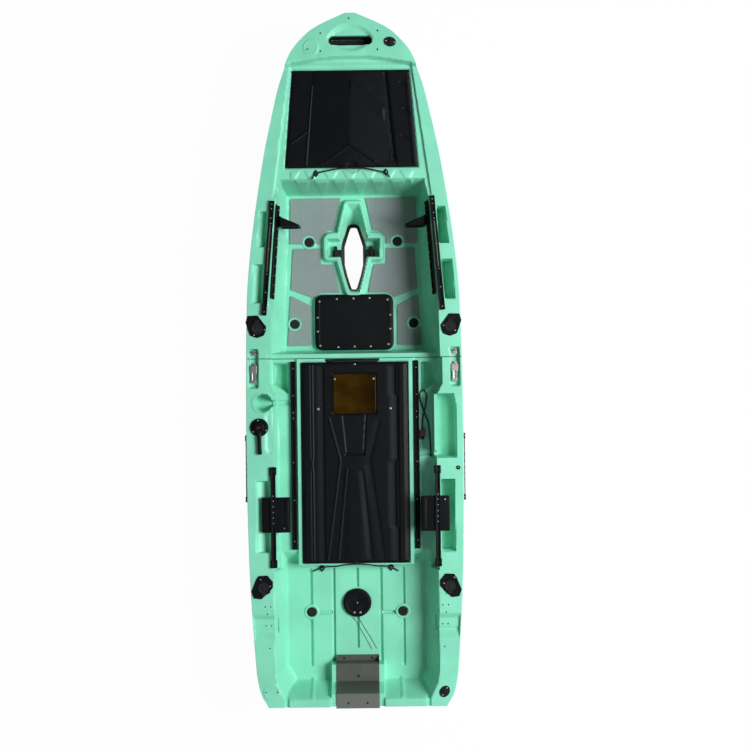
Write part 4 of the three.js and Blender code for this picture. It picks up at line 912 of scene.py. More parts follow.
def footwell(z, x, d):
    """The drive well with its rim and steps, the plate's bed and the pockets outboard."""
    ax = np.abs(x)
    head = inside(x, d, rounded(mirrored(WELL_HEAD), 9))
    foot = inside(x, d, keel_opening())
    throat = inside(x, d, rounded(mirrored(WELL_THROAT), 8))
    near = (d > 735) & (d < 1190) & (ax < 160)
    rim = COCKPIT + 26 * soft((head + 19) / 12)
    z = np.where(near & (head > -19), np.maximum(z, rim), z)
    gone = np.clip(throat / np.maximum(throat - foot, 1e-3), 0, 1)
    gone = np.where(foot > 0, 1, gone)
    bore = 150 - 120 * ease(gone * 1.02) ** 0.9
    step = least(115 - ax, ax - 20, d - 917, 998 - d)
    bore = np.minimum(bore, sunk(np.full(np.shape(x), 150.0), step, 92, 8))
    z = np.where(near & (head > 0) & (d < 1160), np.minimum(z, bore), z)
    z = np.where(near & (foot > -1.5), 30, z)
    plate = in_box(x, d, -172, 172, 1159, 1403, 38)
    z = np.where(plate > -4, np.maximum(z, COCKPIT + 12 * soft((plate + 4) / 5)), z)
    moved = d + np.where(x > 0, 13, 2)
    for inner, pocket in (
        (364, ((354, 822), (362, 972), (401, 972), (389, 822))),
        (386, ((371, 1044), (384, 1206), (425, 1206), (415, 1044))),
    ):
        z = sunk(z, inside(ax, moved, pocket) + 1, pocket_floor(x, inner), 5)
    return rod_hole(z, x, d, "front")


def stern_deck(x, d):
    """Height of the deck behind the seam: platform, trays, cup, tankwell and transom."""
    ax = np.abs(x)
    low = keel(d)
    z = np.full(np.shape(x), float(DECK))
    flat = np.interp(d, [1438, 1545, 1595, 2236, 2262], [356, 356, 330, 326, 334])
    z = z - (DECK - PLATFORM) * ease((flat + 14 - ax) / 15) * (d < 2330)
    z = sunk(z, inside(ax, d, [(282, 1456), (282, 1590), (348, 1543), (348, 1456)]), 190, 7)
    coaming = np.minimum(246.6 - ax, 2318 - d)
    tab = least(x + 120, 102 - x, 1456 - d)
    z = np.where((d > 2250) & (coaming < 0), np.minimum(z, tankwell(x, d)), z)
    z = np.where(coaming > -4, np.maximum(z, z + (250 - z) * soft((coaming + 4) / 4)), z)
    z = z - 4.5 * soft((tab + 3) / 3) * (z > 248)
    z = sunk(z, in_box(x, d, -226.6, 226.6, 1454.4, 2309.6, 6) + 3, PLATFORM, 3)
    pit = in_box(x, d, -198, 198, 1493, 2271, 24)
    z = sunk(z, pit, low + 38 + 60 * (ax / 198) ** 4, 14)
    z = sunk(z, in_box(ax, d, 360, 416, 1950, 2252, 8) + 1, pocket_floor(x, 374), 5)
    z = latch_recess(rod_hole(z, x, d, "rear"), x, d)
    z = starboard_tray(port_fittings(z, x, d), x, d)
    dip = 16 * ease((d - 2510) / 24) * (1 - ease((d - 2577) / 44))
    dip = dip + 5 * soft((d - 2571) / 5) * (1 - ease((d - 2580) / 34))
    z = z - dip * (z > 300) * soft((half_beam(d) - 5 - ax) / 5)
    return z + boss(x + 360, d - 2834, 35)


def port_fittings(z, x, d):
    """The cup holder with its neck, the shallow recess under the lever and the channels."""
    cup = 36 - np.hypot(x - CUP[0], d - CUP[1])
    neck = least(12 - (x + 352) * 0.05 - np.abs(d - 1625), -331 - x, x + 378)
    z = sunk(z, neck + 3, 264, 6)
    z = sunk(z, cup + 2, 258, 6)
    beside = (x < -345) & (np.abs(d - 1625) < 60)
    z = z + 2.5 * soft((cup + 12) / 4) * (1 - soft((cup + 5) / 4)) * beside
    facet = [(-330, 1654), (-366, 1654), (-378, 1676), (-378, 1816), (-366, 1839), (-330, 1839)]
    z = np.where(z > 300, z - 6 * soft(inside(x, d, facet) / 14), z)
    for side, where in ((-1, 1625), (1, 1846)):
        channel = least(8 - np.abs(d - where), side * x - 251, 332 - side * x)
        z = z - 7 * soft((channel + 2) / 4) * (z < 262)
    return z


def starboard_tray(z, x, d):
    """The long tray with its gate, the raised lip beside it and the cable's outlet."""
    tray = inside(x, d, [(346, 1592), (346, 1858), (424, 1858), (424, 1640), (414, 1592)])
    lip = 11 - np.hypot(x - 337, np.maximum(np.abs(d - 1712) - 112, 0))
    z = np.where((lip > -2) & (z > 245), z + (336 - z) * soft((lip + 2) / 5), z)
    z = sunk(z, tray + 1, leaned(x, 366, 424, 258, 282), 5)
    gate = least(12 - np.abs(d - 1846), x - 326, 360 - x)
    z = np.where(z > 275, sunk(z, gate + 2, 275, 5), z)
    outlet = in_box(x, d, 313, 332, 1860, 1876, 3)
    rise = PLATFORM + 12 * soft((outlet + 1) / 2.5)
    return np.where((outlet > -1) & (z < 300), np.maximum(z, rise), z)


GROOVES = (
    (-200, 2340, 2758), (200, 2340, 2758), (-100, 2340, 2806), (100, 2340, 2806),
    (0, 2340, 2420), (0, 2549, 2682),
)


def tankwell(x, d):
    """The well behind the centre hatch: sloping sides, grooves, pedestal and rear slope."""
    ax = np.abs(x)
    half = np.interp(d, [2240, 2262, 2745, 2800, 2868, 2876], [322, 345, 345, 338, 306, 296])
    foot = np.interp(d, [2318, 2760, 2816], [296, 296, 262])
    wall = DECK - (DECK - TANKWELL) * ease((half - ax) / (half - foot))
    front = PLATFORM - (PLATFORM - TANKWELL) * ease((d - 2258) / 46)
    rear = TANKWELL + (DECK - TANKWELL) * ease((d - 2816) / 54)
    z = greatest(wall, front, rear)
    floor = (z < TANKWELL + 3) & (d > 2318)
    groove = in_box(ax, d, 106, 174, 2525, 2537, 4)
    for across, start, end in GROOVES:
        groove = np.maximum(groove, in_box(x, d, across - 6, across + 6, start, end, 4))
    z = z - sizes().groove_depth * 1000 * soft((groove + 1.5) / 3) * floor
    rib = least(7 - np.abs(ax - 190), d - 2812, 2864 - d)
    z = z + 9 * soft((rib + 3) / 6) * (z < 326)
    z = sunk(z, 50.5 - np.hypot(x - ROUND_HATCH[0], d - ROUND_HATCH[1]), 146, 5)
    pedestal = np.minimum(112 - ax, d - 2743)
    saddle = PLATFORM + 78 * ease((d - 2815) / 35)
    raised = z + (saddle - z) * soft((pedestal + 4) / 4)
    z = np.where(pedestal > -4, np.where(d > 2816, raised, np.maximum(z, raised)), z)
    drain = np.minimum(9 - np.abs(ax - 297), d - 2860)
    return z - 9 * soft((drain + 2) / 5) * (z > 240)


def hull_section(name, start, end, deck, node):
    """Closed rings across the boat: the deck's columns, then side, bottom and side again.

    Each ring's deck points come from the deck's height, and its side from a rounded section
    scaled by half the beam and the depth, drawn in towards the bow where the keel is fine.
    Behind the seam the columns over the wells run straight, and only those outboard follow
    the beam.
    """
    count = int(round((end - start) / (sizes().row_step * 1000)))
    rows = np.linspace(start, end, count + 1)
    half = half_beam(rows)[:, None]
    share = np.linspace(-DECK_SHARE, DECK_SHARE, sizes().columns)
    x = share * half
    if start > SEAM:
        beyond = (np.abs(share) - WELL_SHARE) / (DECK_SHARE - WELL_SHARE)
        outer = np.sign(share) * (WELL_HALF + beyond * (half * DECK_SHARE - WELL_HALF))
        x = np.where(np.abs(share) <= WELL_SHARE, share / WELL_SHARE * WELL_HALF, outer)
    d = np.repeat(rows[:, None], sizes().columns, 1)
    top = deck(x, d)
    across, up = cut_corners(SECTION)[1:].T
    fine = 0.75 * np.maximum(0, 1 - rows / 1000)[:, None] ** 1.5
    sx = half * across * (1 - fine * (1 - up) ** 1.5)
    low = keel(rows)[:, None]
    sz = low + (top[:, -1:] - low) * up
    sd = np.repeat(rows[:, None], len(up), 1)
    right = np.stack([sx, sd, sz], -1)
    left = np.stack([-sx, sd, sz], -1)[:, ::-1]
    made = Piece(name, "hull", node)
    made.add(rings(np.concatenate([np.stack([x, d, top], -1), right, left], 1)), HULL)
    return made


def bored(piece, cutters, slot=HULL):
    """The piece with each cutter taken out of it: a solid cut, applied to the mesh."""
    mesh = tidied(mesh_of("cutter", cutters))
    cutter = shown("cutter", mesh)
    change = piece.modifiers.new("bore", "BOOLEAN")
    change.operation = "DIFFERENCE"
    change.solver = "EXACT"
    change.object = cutter
    graph = bpy.context.evaluated_depsgraph_get()
    graph.update()
    cut = bpy.data.meshes.new_from_object(piece.evaluated_get(graph))
    piece.modifiers.clear()
    old, piece.data = piece.data, cut
    cut.name = piece.name
    bpy.data.objects.remove(cutter)
    bpy.data.meshes.remove(mesh)
    bpy.data.meshes.remove(old)
    cut.materials.clear()
    cut.materials.append(finish_of(slot))
    cut.shade_smooth()
    cut.set_sharp_from_angle(angle=math.radians(42))


def make_hull():
    """Both mouldings, bored for the drive well and the scuppers."""
    for name, start, end, deck, node, scuppers in (
        ("bow_section_moulding", 0, SEAM - JOINT_GAP, bow_deck, "hull_bow_section",
         SCUPPERS[:2]),
        ("stern_section_moulding", SEAM + JOINT_GAP, LENGTH, stern_deck, "hull_stern_section",
         SCUPPERS[2:]),
    ):
        cutters = [prism(keel_opening(), [(0, -20), (0, 60)])] if deck is bow_deck else []
        cutters += [prism(circle(side * x, d, SCUPPER_BORE, 28), [(0, -30), (0, 260)])
                    for x, d, _ in scuppers for side in SIDES]
        bored(hull_section(name, start, end, deck, node).finish(), cutters)


# Covers and plates


def front_cover_top(x, d):
    """The front cover's creases: a crest that forks, a light line, a step and a side band."""
    z = np.full(np.shape(x), 324.5)
    crest = off_line(x, d, [(-3, 282), (-6, 547)])
    beside = soft(least(x + 165 + (d - 296) * 0.088, 146 + (d - 254) * 0.098 - x) / 12)
    z = z + 11.5 * np.clip(1 - crest / 170, 0, 1) * beside
    z = z - 3.2 * soft((d - 548 - np.abs(x + 6) * 0.68) / 6) * beside
    z = z + 2.4 * mark(x, d, [(-107, 618), (-6, 547), (98, 614)], 5)
    streak = (146 * (d - 279) - 121 * (x + 3)) / 189.6 + 8 * np.sin((x + 3) * math.pi / 146)
    z = z + 3.2 * soft((streak + 4) / 6) * (1 - soft((streak - 2) / 60)) * (
        soft((x + 6) / 8) * (1 - soft((x - 132) / 12)))
    z = z + 2.6 * mark(x, d, [(-162, 296), (-191, 627)], 4)
    z = z + 2.2 * mark(x, d, [(-190, 493), (-249, 535)], 4)
    z = z - 5.5 * mark(x, d, [(143, 254), (178, 612)], 4, 3)
    z = z + 2.6 * soft((x - 152 - (d - 254) * 0.098) / 6)
    for notch in (((207, 286), (231, 300)), ((222, 398), (246, 416)), ((214, 507), (247, 529))):
        z = z - 2.4 * mark(x, d, notch, 4, 1.5)
    z = z + 1.6 * soft((x - 224 - (d - 254) * 0.08) / 5) * soft((d - 262) / 10)
    z = z - 5 * soft((26 - np.hypot(x, d - 640)) / 8)
    rim = least(front_cover_half(d) - np.abs(x), d - 232, 640 - d)
    return z - 2.2 * soft((9 - rim) / 4)


def make_front_cover():
    """The front cover with the barrel of its hinge along the front edge."""
    piece = Piece("front_cover_moulding", "front_hatch", "front_hatch_cover")
    rows = np.linspace(236.6, 639.7, 190)
    piece.add(slab(rows, lambda d: front_cover_half(d) - 0.4, front_cover_top, steady(314.35),
                   230, 2.4), PLASTIC)
    barrel = front_cover_half(rows[0]) - 0.6
    piece.rod([-barrel, 236.7, 323.3], [barrel, 236.7, 323.3], 4.0, 16, PLASTIC, 30)
    piece.finish(sharp=50)


CENTRE_LINES = (
    (((-180, 1462), (-180, 1860), (-183, 1875), (-183, 1905), (-180, 1920), (-180, 2302)), 2.0, 5),
    (((-37, 1906), (-77, 2296)), 1.7, 5),
    (((-111, 1690), (-64, 1872), (-122, 2296)), 1.5, 5),
    (((47, 1680), (36, 1846)), -5.0, 3.5),
    (((-40, 1847), (36, 1847)), -5.0, 5),
)
CENTRE_CREASES = (
    ((1462, 2302), (-132, -132), 3.4, 34),
    ((1462, 1590, 1602, 1868, 1884, 2150, 2164, 2302), (172, 172, 181, 181, 170, 170, 181, 181),
     4.2, 40),
    ((1906, 2296), (32, 70), 2.6, 30),
    ((1690, 1872, 2296), (111, 64, 122), 1.8, 34),
)


def crease(x, d, rows, across, depth, run):
    """A panel that sinks gently towards starboard and ends in a short step up."""
    beside = x - np.interp(d, rows, across)
    ends = soft((d - rows[0]) / 14) * soft((rows[-1] - d) / 8)
    return -depth * soft((beside + run) / run) * (1 - soft(beside / 4)) * ends


def centre_cover_top(x, d):
    """The centre cover: raised lines, creased panels, a side band, a bay and the window's bed."""
    z = np.full(np.shape(x), 261.0)
    for line, rise, width in CENTRE_LINES:
        z = z + rise * mark(x, d, line, width, 1.5)
    for rows, across, depth, run in CENTRE_CREASES:
        z = z + crease(x, d, rows, across, depth, run)
    z = z + 2.6 * soft((x - 184) / 5) * (1 - soft((x - 208) / 6))
    z = z + 2.2 * soft((-184 - x) / 6) * (1 - soft((-212 - x) / 6))
    z = z + 2.0 * soft((60 - np.abs(x)) / 40) * soft((d - 1880) / 30)
    z = z - 2.2 * soft(inside(x, d, [(-56, 1678), (46, 1678), (35, 1848), (-40, 1848)]) / 5)
    z = sunk(z, in_box(x, d, -93, 93, 1503, 1675, 10) + 3, 256, 3)
    rim = least(225.6 - np.abs(x), d - 1455.4, 2308.6 - d)
    z = z - 2.5 * soft((10 - rim) / 5)
    return z - 2.0 * soft((14 - np.hypot(x, d - 1458)) / 4)


def make_centre_cover():
    """The centre cover, the thin lines beside its window, its front tab and its rear hook."""
    piece = Piece("centre_cover_moulding", "centre_hatch", "centre_hatch_cover")
    rows = np.linspace(1455.3, 2308.7, 230)
    piece.add(slab(rows, steady(225.7), centre_cover_top, steady(240.4), 190, 2.6), PLASTIC)
    for side, x in ((-1, -156), (1, 151)):
        piece.add(screw(x, 1653, 260.6, 6.2, 3.0), STEEL)
        piece.rod([x - side * 8, 1652, 261.5], [side * 97, 1640, 261.5], 1.3, 8, RUBBER)
    piece.add(screw(2, 1464, 258.0, 5.0, 4.0), STEEL)
    piece.add(block(-118, 100, 1440.5, 1457, 246.2, 249.9, 3, 0.8), PLASTIC)
    piece.add(block(-9, 3, 2299, 2311, 250, 261.5, 3, 1.6), RUBBER)
    piece.finish(sharp=50)


def window_top(x, d):
    """Flat facets that meet at shallow ridges, read as a pressed sheet."""
    facet = greatest(np.abs(x - 10) * 0.016, np.abs(d - 1600) * 0.014, (x + d - 1560) * 0.008)
    return 258.6 + np.clip(facet, 0, 2)


def window_half(d):
    """Half the width of the window, less at its rounded ends."""
    return 90.6 - 8 * soft((1513 - d) / 8) - 8 * soft((d - 1665) / 8)


def make_window():
    """The sheet let into the centre cover, with its two screws."""
    piece = Piece("window_sheet", "centre_hatch", "hatch_window_plate")
    rows = np.linspace(1505.4, 1672.6, 60)
    piece.add(slab(rows, window_half, window_top, steady(256.3), 60, 1.4), AMBER)
    piece.screws(((-84, 1526), (80, 1526)), 259.6, 4.6, 2.0)
    piece.finish(sharp=20)


PADS = {
    "front": ((50, 0), (50, 185), (278, 185), (273, 0)),
    "middle": ((141, 0), (135, 60), (88, 63), (61, 196), (132, 198), (168, 218), (276, 178),
               (264, 0)),
    "rear": ((187, 47), (187, 220), (292, 222), (278, 0)),
}


def make_pads():
    """Foam pads on the footwell's floor, cut back for the well, the plate and the scuppers."""
    cut = [(0, 100), (0, 140)]
    plate = rounded([(-172, 1159), (172, 1159), (172, 1403), (-172, 1403)], 38)
    shared = [prism(rounded(mirrored(WELL_SURROUND), 8), cut), prism(drawn_in(plate, -8), cut)]
    for side in SIDES:
        for place, outline in PADS.items():
            pad = sided("foam_pad_" + place, "floor_pad_" + place, side)
            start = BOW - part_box(pad.nodes[0])[1].y * 1000 - 0.5
            extra = 14 if place == "front" else 0
            line = [(side * x, start + d - (extra if d == 0 else 0)) for x, d in outline]
            levels = [(0.5, 120.4), (0, 121.2), (0, 123.8), (1.2, 125)]
            pad.add(prism(rounded(line, 7, 5), levels), FOAM)
            holes = [prism(circle(side * x, d, 29, 40), cut) for x, d, _ in SCUPPERS[:2]]
            bored(pad.finish(sharp=40), shared + holes, FOAM)


PLATE_SCREWS = (
    (-150, 1189), (-75, 1179), (-3, 1177), (68, 1176), (145, 1184), (-159, 1259), (157, 1250),
    (-159, 1319), (156, 1311), (-149, 1381), (-71, 1388), (0, 1386), (70, 1386), (147, 1377),
)


def make_deck_plate():
    """The plate behind the drive well: a rounded sheet with a sunk middle and its screws."""
    piece = Piece("deck_plate_sheet", "hull", "deck_plate")
    outline = rounded([(-171, 1160), (171, 1160), (171, 1402), (-171, 1402)], 37, 9)
    levels = [(0, 132.3), (0, 139.0), (0.6, 140.2), (1.8, 140.8), (20, 140.8), (22, 139.6)]
    piece.add(prism(outline, levels), PLASTIC)
    piece.screws(PLATE_SCREWS, 140.4, 4.6, 1.8)
    piece.finish(sharp=30)


def make_round_hatch():
    """Ring and lid turned about one axis, the lid's edge fluted for the fingers."""
    at = (*ROUND_HATCH, TANKWELL)
    ring = Piece("round_hatch_seat", "hull", "round_hatch_ring")
    profile = [(42.4, -17), (49.6, -17), (49.6, 0.3), (60.4, 0.3), (61, 1.4), (60.5, 6.5),
               (58, 8.8), (53, 9.2), (50, 8.6), (48.5, 8.0), (42.4, 7.6)]
    ring.add(ring_turned(*at, profile, 64), PLASTIC)
    ring.finish()
    lid = Piece("round_hatch_cover", "round_hatch", "round_hatch_lid")
    profile = [(0, 0.4), (41.0, 0.4), (41.0, 9.7), (59.2, 9.7), (60.2, 11), (59.4, 13),
               (54, 14.4), (47, 14.8), (44.5, 13.9), (41, 13.4), (9, 13.4), (7.5, 14.9), (0, 15)]
    lid.add(turned(*at, profile, 144, 0.012, 36), PLASTIC)
    lid.screws([ROUND_HATCH], TANKWELL + 14.9, 3.4, 1.6)
    lid.screws(((-13, 2529), (13, 2529)), TANKWELL + 13.6, 5.0, 2.6)
    inner, outer = (level(circle(*ROUND_HATCH, radius, 12), TANKWELL + 13.6)
                    for radius in (12, 40))
    for start, end in zip(inner, outer):
        lid.rod(start, end, 0.9, 8, PLASTIC, 6)
    lid.finish()


def make_scuppers():
    """Raised rings round the scupper holes, turned about each hole's axis."""
    piece = Piece("scupper_rings", "hull")
    profile = [(18.6, -1.0), (33, -1.0), (32.4, 1.4), (29.5, 3.6), (25.5, 4.6), (23.0, 3.6),
               (21.2, 0.9), (18.6, 0.4)]
    for x, d, z in SCUPPERS:
        for side in SIDES:
            piece.add(ring_turned(side * x, d, z, profile), HULL)
    piece.finish()


# Fittings


def bar(start, end, section, side=1):
    """A profile of across and up, carried straight from one point to another."""
    start, end = np.asarray(start, float), np.asarray(end, float)
    way = (end - start) / np.linalg.norm(end - start)
    across = np.array([way[1], -way[0], 0.0]) * side
    section = np.asarray(section, float)
    ring = across * section[:, :1] + np.array([0.0, 0.0, 1.0]) * section[:, 1:]
    return rings(np.stack([start + ring, end + ring]))


TRACK = (
    (-10.5, 0), (10.5, 0), (10.5, 11.6), (9.6, 12.8), (4.6, 12.8), (3.8, 12.2), (3.8, 8.2),
    (-3.8, 8.2), (-3.8, 12.2), (-4.6, 12.8), (-9.6, 12.8), (-10.5, 11.6),
)


def make_gear_tracks():
    """Slotted tracks on the side decks: a channel profile carried along each one."""
    for side in SIDES:
        piece = sided("gear_rail_front", "gear_track_front", side)
        ahead = 15 if side > 0 else 0
        start = np.array([side * 334, 778 - ahead, 330.4])
        way = np.array([side * 374, 1256 - ahead, 330.4]) - start
        piece.add(bar(start, start + way, TRACK), PLASTIC)
        shares = (0.03, 0.07, 0.15, 0.2, 0.42, 0.64, 0.8, 0.97)
        piece.screws([(start + way * share)[:2] for share in shares], 338.6, 3.0, 2.4)
        strip = [(-1.6, 8.1), (1.6, 8.1), (1.6, 9.4), (-1.6, 9.4)]
        piece.add(bar(start + way * 0.22, start + way * 0.62, strip), SHEET)
        piece.finish(sharp=25)
        piece = sided("gear_rail_rear", "gear_track_rear", side)
        x = side * REAR_TRACK
        low = [(a, 5.6 + u * 7.2 / 12.8) for a, u in TRACK]
        piece.add(bar((x, 1893, 330.4), (x, 2312, 330.4), low), PLASTIC)
        for first in (1891.2, 2280.2):
            piece.add(block(x - 14.4, x + 14.4, first, first + 33.6, 330.4, 340.0, 3, 1.4),
                      PLASTIC)
            piece.add(screw(x, first + 16.8, 342.6, 4.4, 1.6), RUBBER)
        piece.screws([(x, d) for d in (2012, 2033, 2056, 2080, 2103, 2126)], 340.2, 2.4, 1.8)
        piece.finish(sharp=25)


def make_seat_rails():
    """Seat rails beside the centre hatch, with their end stops and screws."""
    section = [(a * 1.04, u * 1.08) for a, u in TRACK]
    for side in SIDES:
        piece = sided("seat_slide", "seat_rail", side)
        x = side * SEAT_RAIL
        piece.add(bar((x, 1452, 240.4), (x, 2250, 240.4), section), PLASTIC)
        for d in (1456, 2238):
            piece.add(block(x - 10.8, x + 10.8, d - 6, d + 8, 240.4, 254.2, 4, 2), PLASTIC)
        piece.screws([(x, d) for d in (1480, 1595, 1667, 1691, 1880, 2040, 2215)], 249.2, 3.2,
                     2.8)
        piece.finish(sharp=25)


def make_side_plates():
    """Plates under the rear tracks: a rounded sheet with a raised band inboard."""
    for side in SIDES:
        piece = sided("seat_side_plate", "side_plate", side)
        outline = rounded([(side * x, d) for x, d in
                           ((273, 2018), (393, 2018), (393, 2166), (273, 2166))], 5, 5)
        levels = [(0, 330.4), (0, 333.9), (0.9, 334.9), (2, 335.1)]
        piece.add(prism(outline, levels), PLASTIC)
        piece.add(block(side * 279, side * 297, 2026, 2158, 334.6, 337.0, 4, 1.2), PLASTIC)
        place = (-298, 2148) if side < 0 else (374, 2034)
        piece.screws([place], 335.0, 3.4, 1.8)
        piece.finish(sharp=30)


def make_foot_braces():
    """Foot brace tracks on the footwell's sides and the pedals that slide on them."""
    section = [(0, 0), (-11, 0), (-11, 8), (-6.5, 8), (-6.5, 15), (-11, 15), (-11, 23.6),
               (-3.4, 23.6), (-3.4, 68), (0, 68)]
    blade = cut_corners([(306, 838), (288, 846), (262, 857), (238, 867), (222, 876),
                         (221.6, 880), (240, 880.6), (280, 880.6), (306, 880.6)])
    for side in SIDES:
        piece = sided("foot_brace_rail", "foot_brace_track", side)
        ahead = 12 if side > 0 else 0
        start, end = (
            np.array([side * (footwell_half(row - ahead) - 0.5), at - ahead, 256.2])
            for row, at in ((790, 790.2), (1184, 1183.8))
        )
        piece.add(bar(start, end, section, side), PLASTIC)
        for share in np.linspace(0.05, 0.95, 10):
            x, d, z = start + (end - start) * share
            piece.add(screw(x - side * 8.6, d, z + 23.4, 2.4, 1.6), STEEL)
        piece.finish(sharp=25)
        pedal = sided("foot_pedal_fin", "foot_pedal", side, "foot_pedal")
        root = footwell_half(858) - 11.9
        carriage = rounded([(side * x, d) for x, d in
                            ((root, 836), (root - 10, 836), (root - 10, 880), (root, 880))], 3, 4)
        pedal.add(prism(carriage, [(0, 244.4), (0, 290), (1.2, 291.6)]), PLASTIC)
        levels = [(1.2, 208.3), (0, 209.6), (0, 293.4), (1.2, 295.6), (3, 296.7)]
        pedal.add(prism(blade * (side, 1), levels), PLASTIC)
        for rib in (222, 236, 250, 264, 278):
            pedal.rod([side * 298, 881.2, rib], [side * 232, 881.2, rib], 1.5, 8, PLASTIC, 10)
        pedal.finish(sharp=35)


ROD_FLANGES = {
    "front": ((444, 1258), (401, 1256), (365, 1304), (368, 1324), (376, 1341), (404, 1351),
              (433, 1340), (452, 1285)),
    "rear": ((372, 2345), (408, 2346), (419, 2360), (440, 2412), (430, 2440), (398, 2444),
             (350, 2396), (350, 2372)),
}
ROD_SCREWS = {
    "front": ((-417, 1339), (-373, 1317), (377, 1307), (425, 1328)),
    "rear": ((-401, 2361), (-361, 2389), (410, 2361), (365, 2385)),
}


def rod_holder(centre, outline):
    """A flange, then the tube's bore, foot and outside, as rings of the same count."""
    outer = rounded(outline, 6, 6)
    first = math.atan2(*(outer[0] - centre)[::-1])
    way = np.sign(np.cross(outer[0] - centre, outer[8] - centre))
    angle = first + whole_turn(len(outer)) * way
    unit = np.stack([np.cos(angle), np.sin(angle)], -1)
    rows = [level(drawn_in(outer, inset), z)
            for inset, z in ((1.0, 330.35), (0, 330.9), (0, 333.4), (1.6, 335.2))]
    rows += [level(centre + unit * radius, z) for radius, z in (
        (26, 335.2), (21.6, 334.6), (21.6, 188.5), (0.5, 188.4), (0.5, 185.4), (25.8, 185.4),
        (25.8, 330.35))]
    return rings(np.stack(rows + rows[:1]), False)


def make_rod_holders():
    """Flange and tube of each rod holder, and the round cap on its hinge."""
    profile = [(0, 335.7), (23.6, 335.7), (24, 336.4), (24, 338.8), (22.6, 340.4), (19, 341.0),
               (17.6, 340.2), (9, 340.2), (7.6, 340.9), (0, 341)]
    for place, turn in (("front", 1), ("rear", -1)):
        across, d = ROD_HOLDERS[place]
        for side in SIDES:
            x = side * across
            piece = sided("rod_tube_" + place, "rod_holder_" + place, side)
            outline = [(side * a, b) for a, b in ROD_FLANGES[place]]
            piece.add(rod_holder(np.array([x, d]), outline), PLASTIC)
            piece.screws([at for at in ROD_SCREWS[place] if at[0] * side > 0], 335.0, 3.2, 1.8)
            piece.finish(sharp=30)
            cap = sided("rod_cover_" + place, "rod_holder_cap_" + place, side,
                        "rod_cap_" + place)
            cap.add(turned(x, d, 0, profile, 40), RUBBER)
            hinge = d - turn * 31
            cap.add(block(x - 8.6, x + 8.6, d - turn * 18, hinge, 335.8, 340.2, 2, 0.8), RUBBER)
            cap.rod([x - 8.8, hinge, 338.7], [x + 8.8, hinge, 338.7], 2.9, 14, RUBBER)
            cap.finish(sharp=35)


def latch_handle_half(d):
    """Half the width of the latch lever: a narrow waist and a wider grip at its end."""
    return 13.8 - 3.2 * soft((d - 1496) / 12) + 2.4 * soft((d - 1526) / 8)


def latch_handle_top(beside, d):
    """The lever's top: flat, then waves over the grip, with a dent in its middle."""
    waves = 0.8 * np.cos((d - 1466) / 10) * (d > 1500)
    return 325.0 + waves - 0.9 * soft((5 - np.abs(beside)) / 2) * (np.abs(d - 1512) < 16)


def make_latches():
    """Section latches: keeper, base with ears, lever with a grip lip and the wire bail."""
    for side in SIDES:
        x = side * LATCH
        keeper = sided("latch_catch", "latch_keeper", side)
        keeper.add(block(x - 10.8, x + 10.8, 1404.3, 1423.8, 308.4, 310.8, 2, 0.5), STEEL)
        keeper.add(block(x - 10.8, x + 10.8, 1404.3, 1407.2, 310.4, 319.6, 0.8, 0.8), STEEL)
        line = [(x - 10, 1406, 319.4), (x, 1408.2, 320.2), (x + 10, 1406, 319.4)]
        keeper.add(along(curve_through(line, 1.5), 1.6, 10), STEEL)
        keeper.screws(((x - 5, 1418), (x + 5, 1418)), 310.8, 2.8, 1.4)
        keeper.finish(sharp=30)
        base = sided("latch_seat", "latch_base", side)
        base.add(block(x - 9.8, x + 9.8, 1456.3, 1495.8, 308.4, 310.8, 2, 0.5), STEEL)
        for end in SIDES:
            base.add(block(x + end * 7.6, x + end * 9.9, 1466.4, 1477.6, 310.4, 323.8, 0.6, 1.2),
                     STEEL)
        base.screws(((x - 5, 1486), (x + 5, 1486), (x, 1460)), 310.8, 2.6, 1.2)
        base.finish(sharp=30)
        lever = sided("latch_handle", "latch_lever", side, "latch_lever")
        lever.add(slab(np.linspace(1466.3, 1539.6, 60), latch_handle_half,
                       lambda u, d: latch_handle_top(u - x, d), steady(322.6), 24, 0.8, x),
                  STEEL)
        for end in SIDES:
            lever.add(block(x + end * 11.4, x + end * 13.8, 1466.4, 1497.6, 316.0, 324.6, 0.8,
                            0.6), STEEL)
            lever.add(screw(x + end * 6.0, 1472, 325.4, 2.2, 1.0), STEEL)
        lever.rod([x - 11.6, 1472, 319.3], [x + 11.6, 1472, 319.3], 2.3, 14, STEEL)
        lever.finish(sharp=35)
        bail = sided("latch_wire", "latch_bail", side, "latch_bail")
        half = ((9, 1484), (16, 1484), (17, 1481), (17, 1450), (17, 1416), (14.5, 1411.8))
        loop = [(x - a, d, 317.5) for a, d in half] + [(x, 1411.6, 317.5)]
        loop += [(x + a, d, 317.5) for a, d in reversed(half)]
        bail.add(along(curve_through(loop, 2.5), 1.7, 10), STEEL)
        turn = np.linspace(0, math.tau * 7, 112)
        for end in SIDES:
            spring = [x + end * 17 + 2.9 * np.cos(turn), np.linspace(1428, 1452, 112),
                      317.5 + 1.9 * np.sin(turn)]
            bail.add(along(np.stack(spring, -1), 0.8, 6), STEEL)
        bail.finish(sharp=40)


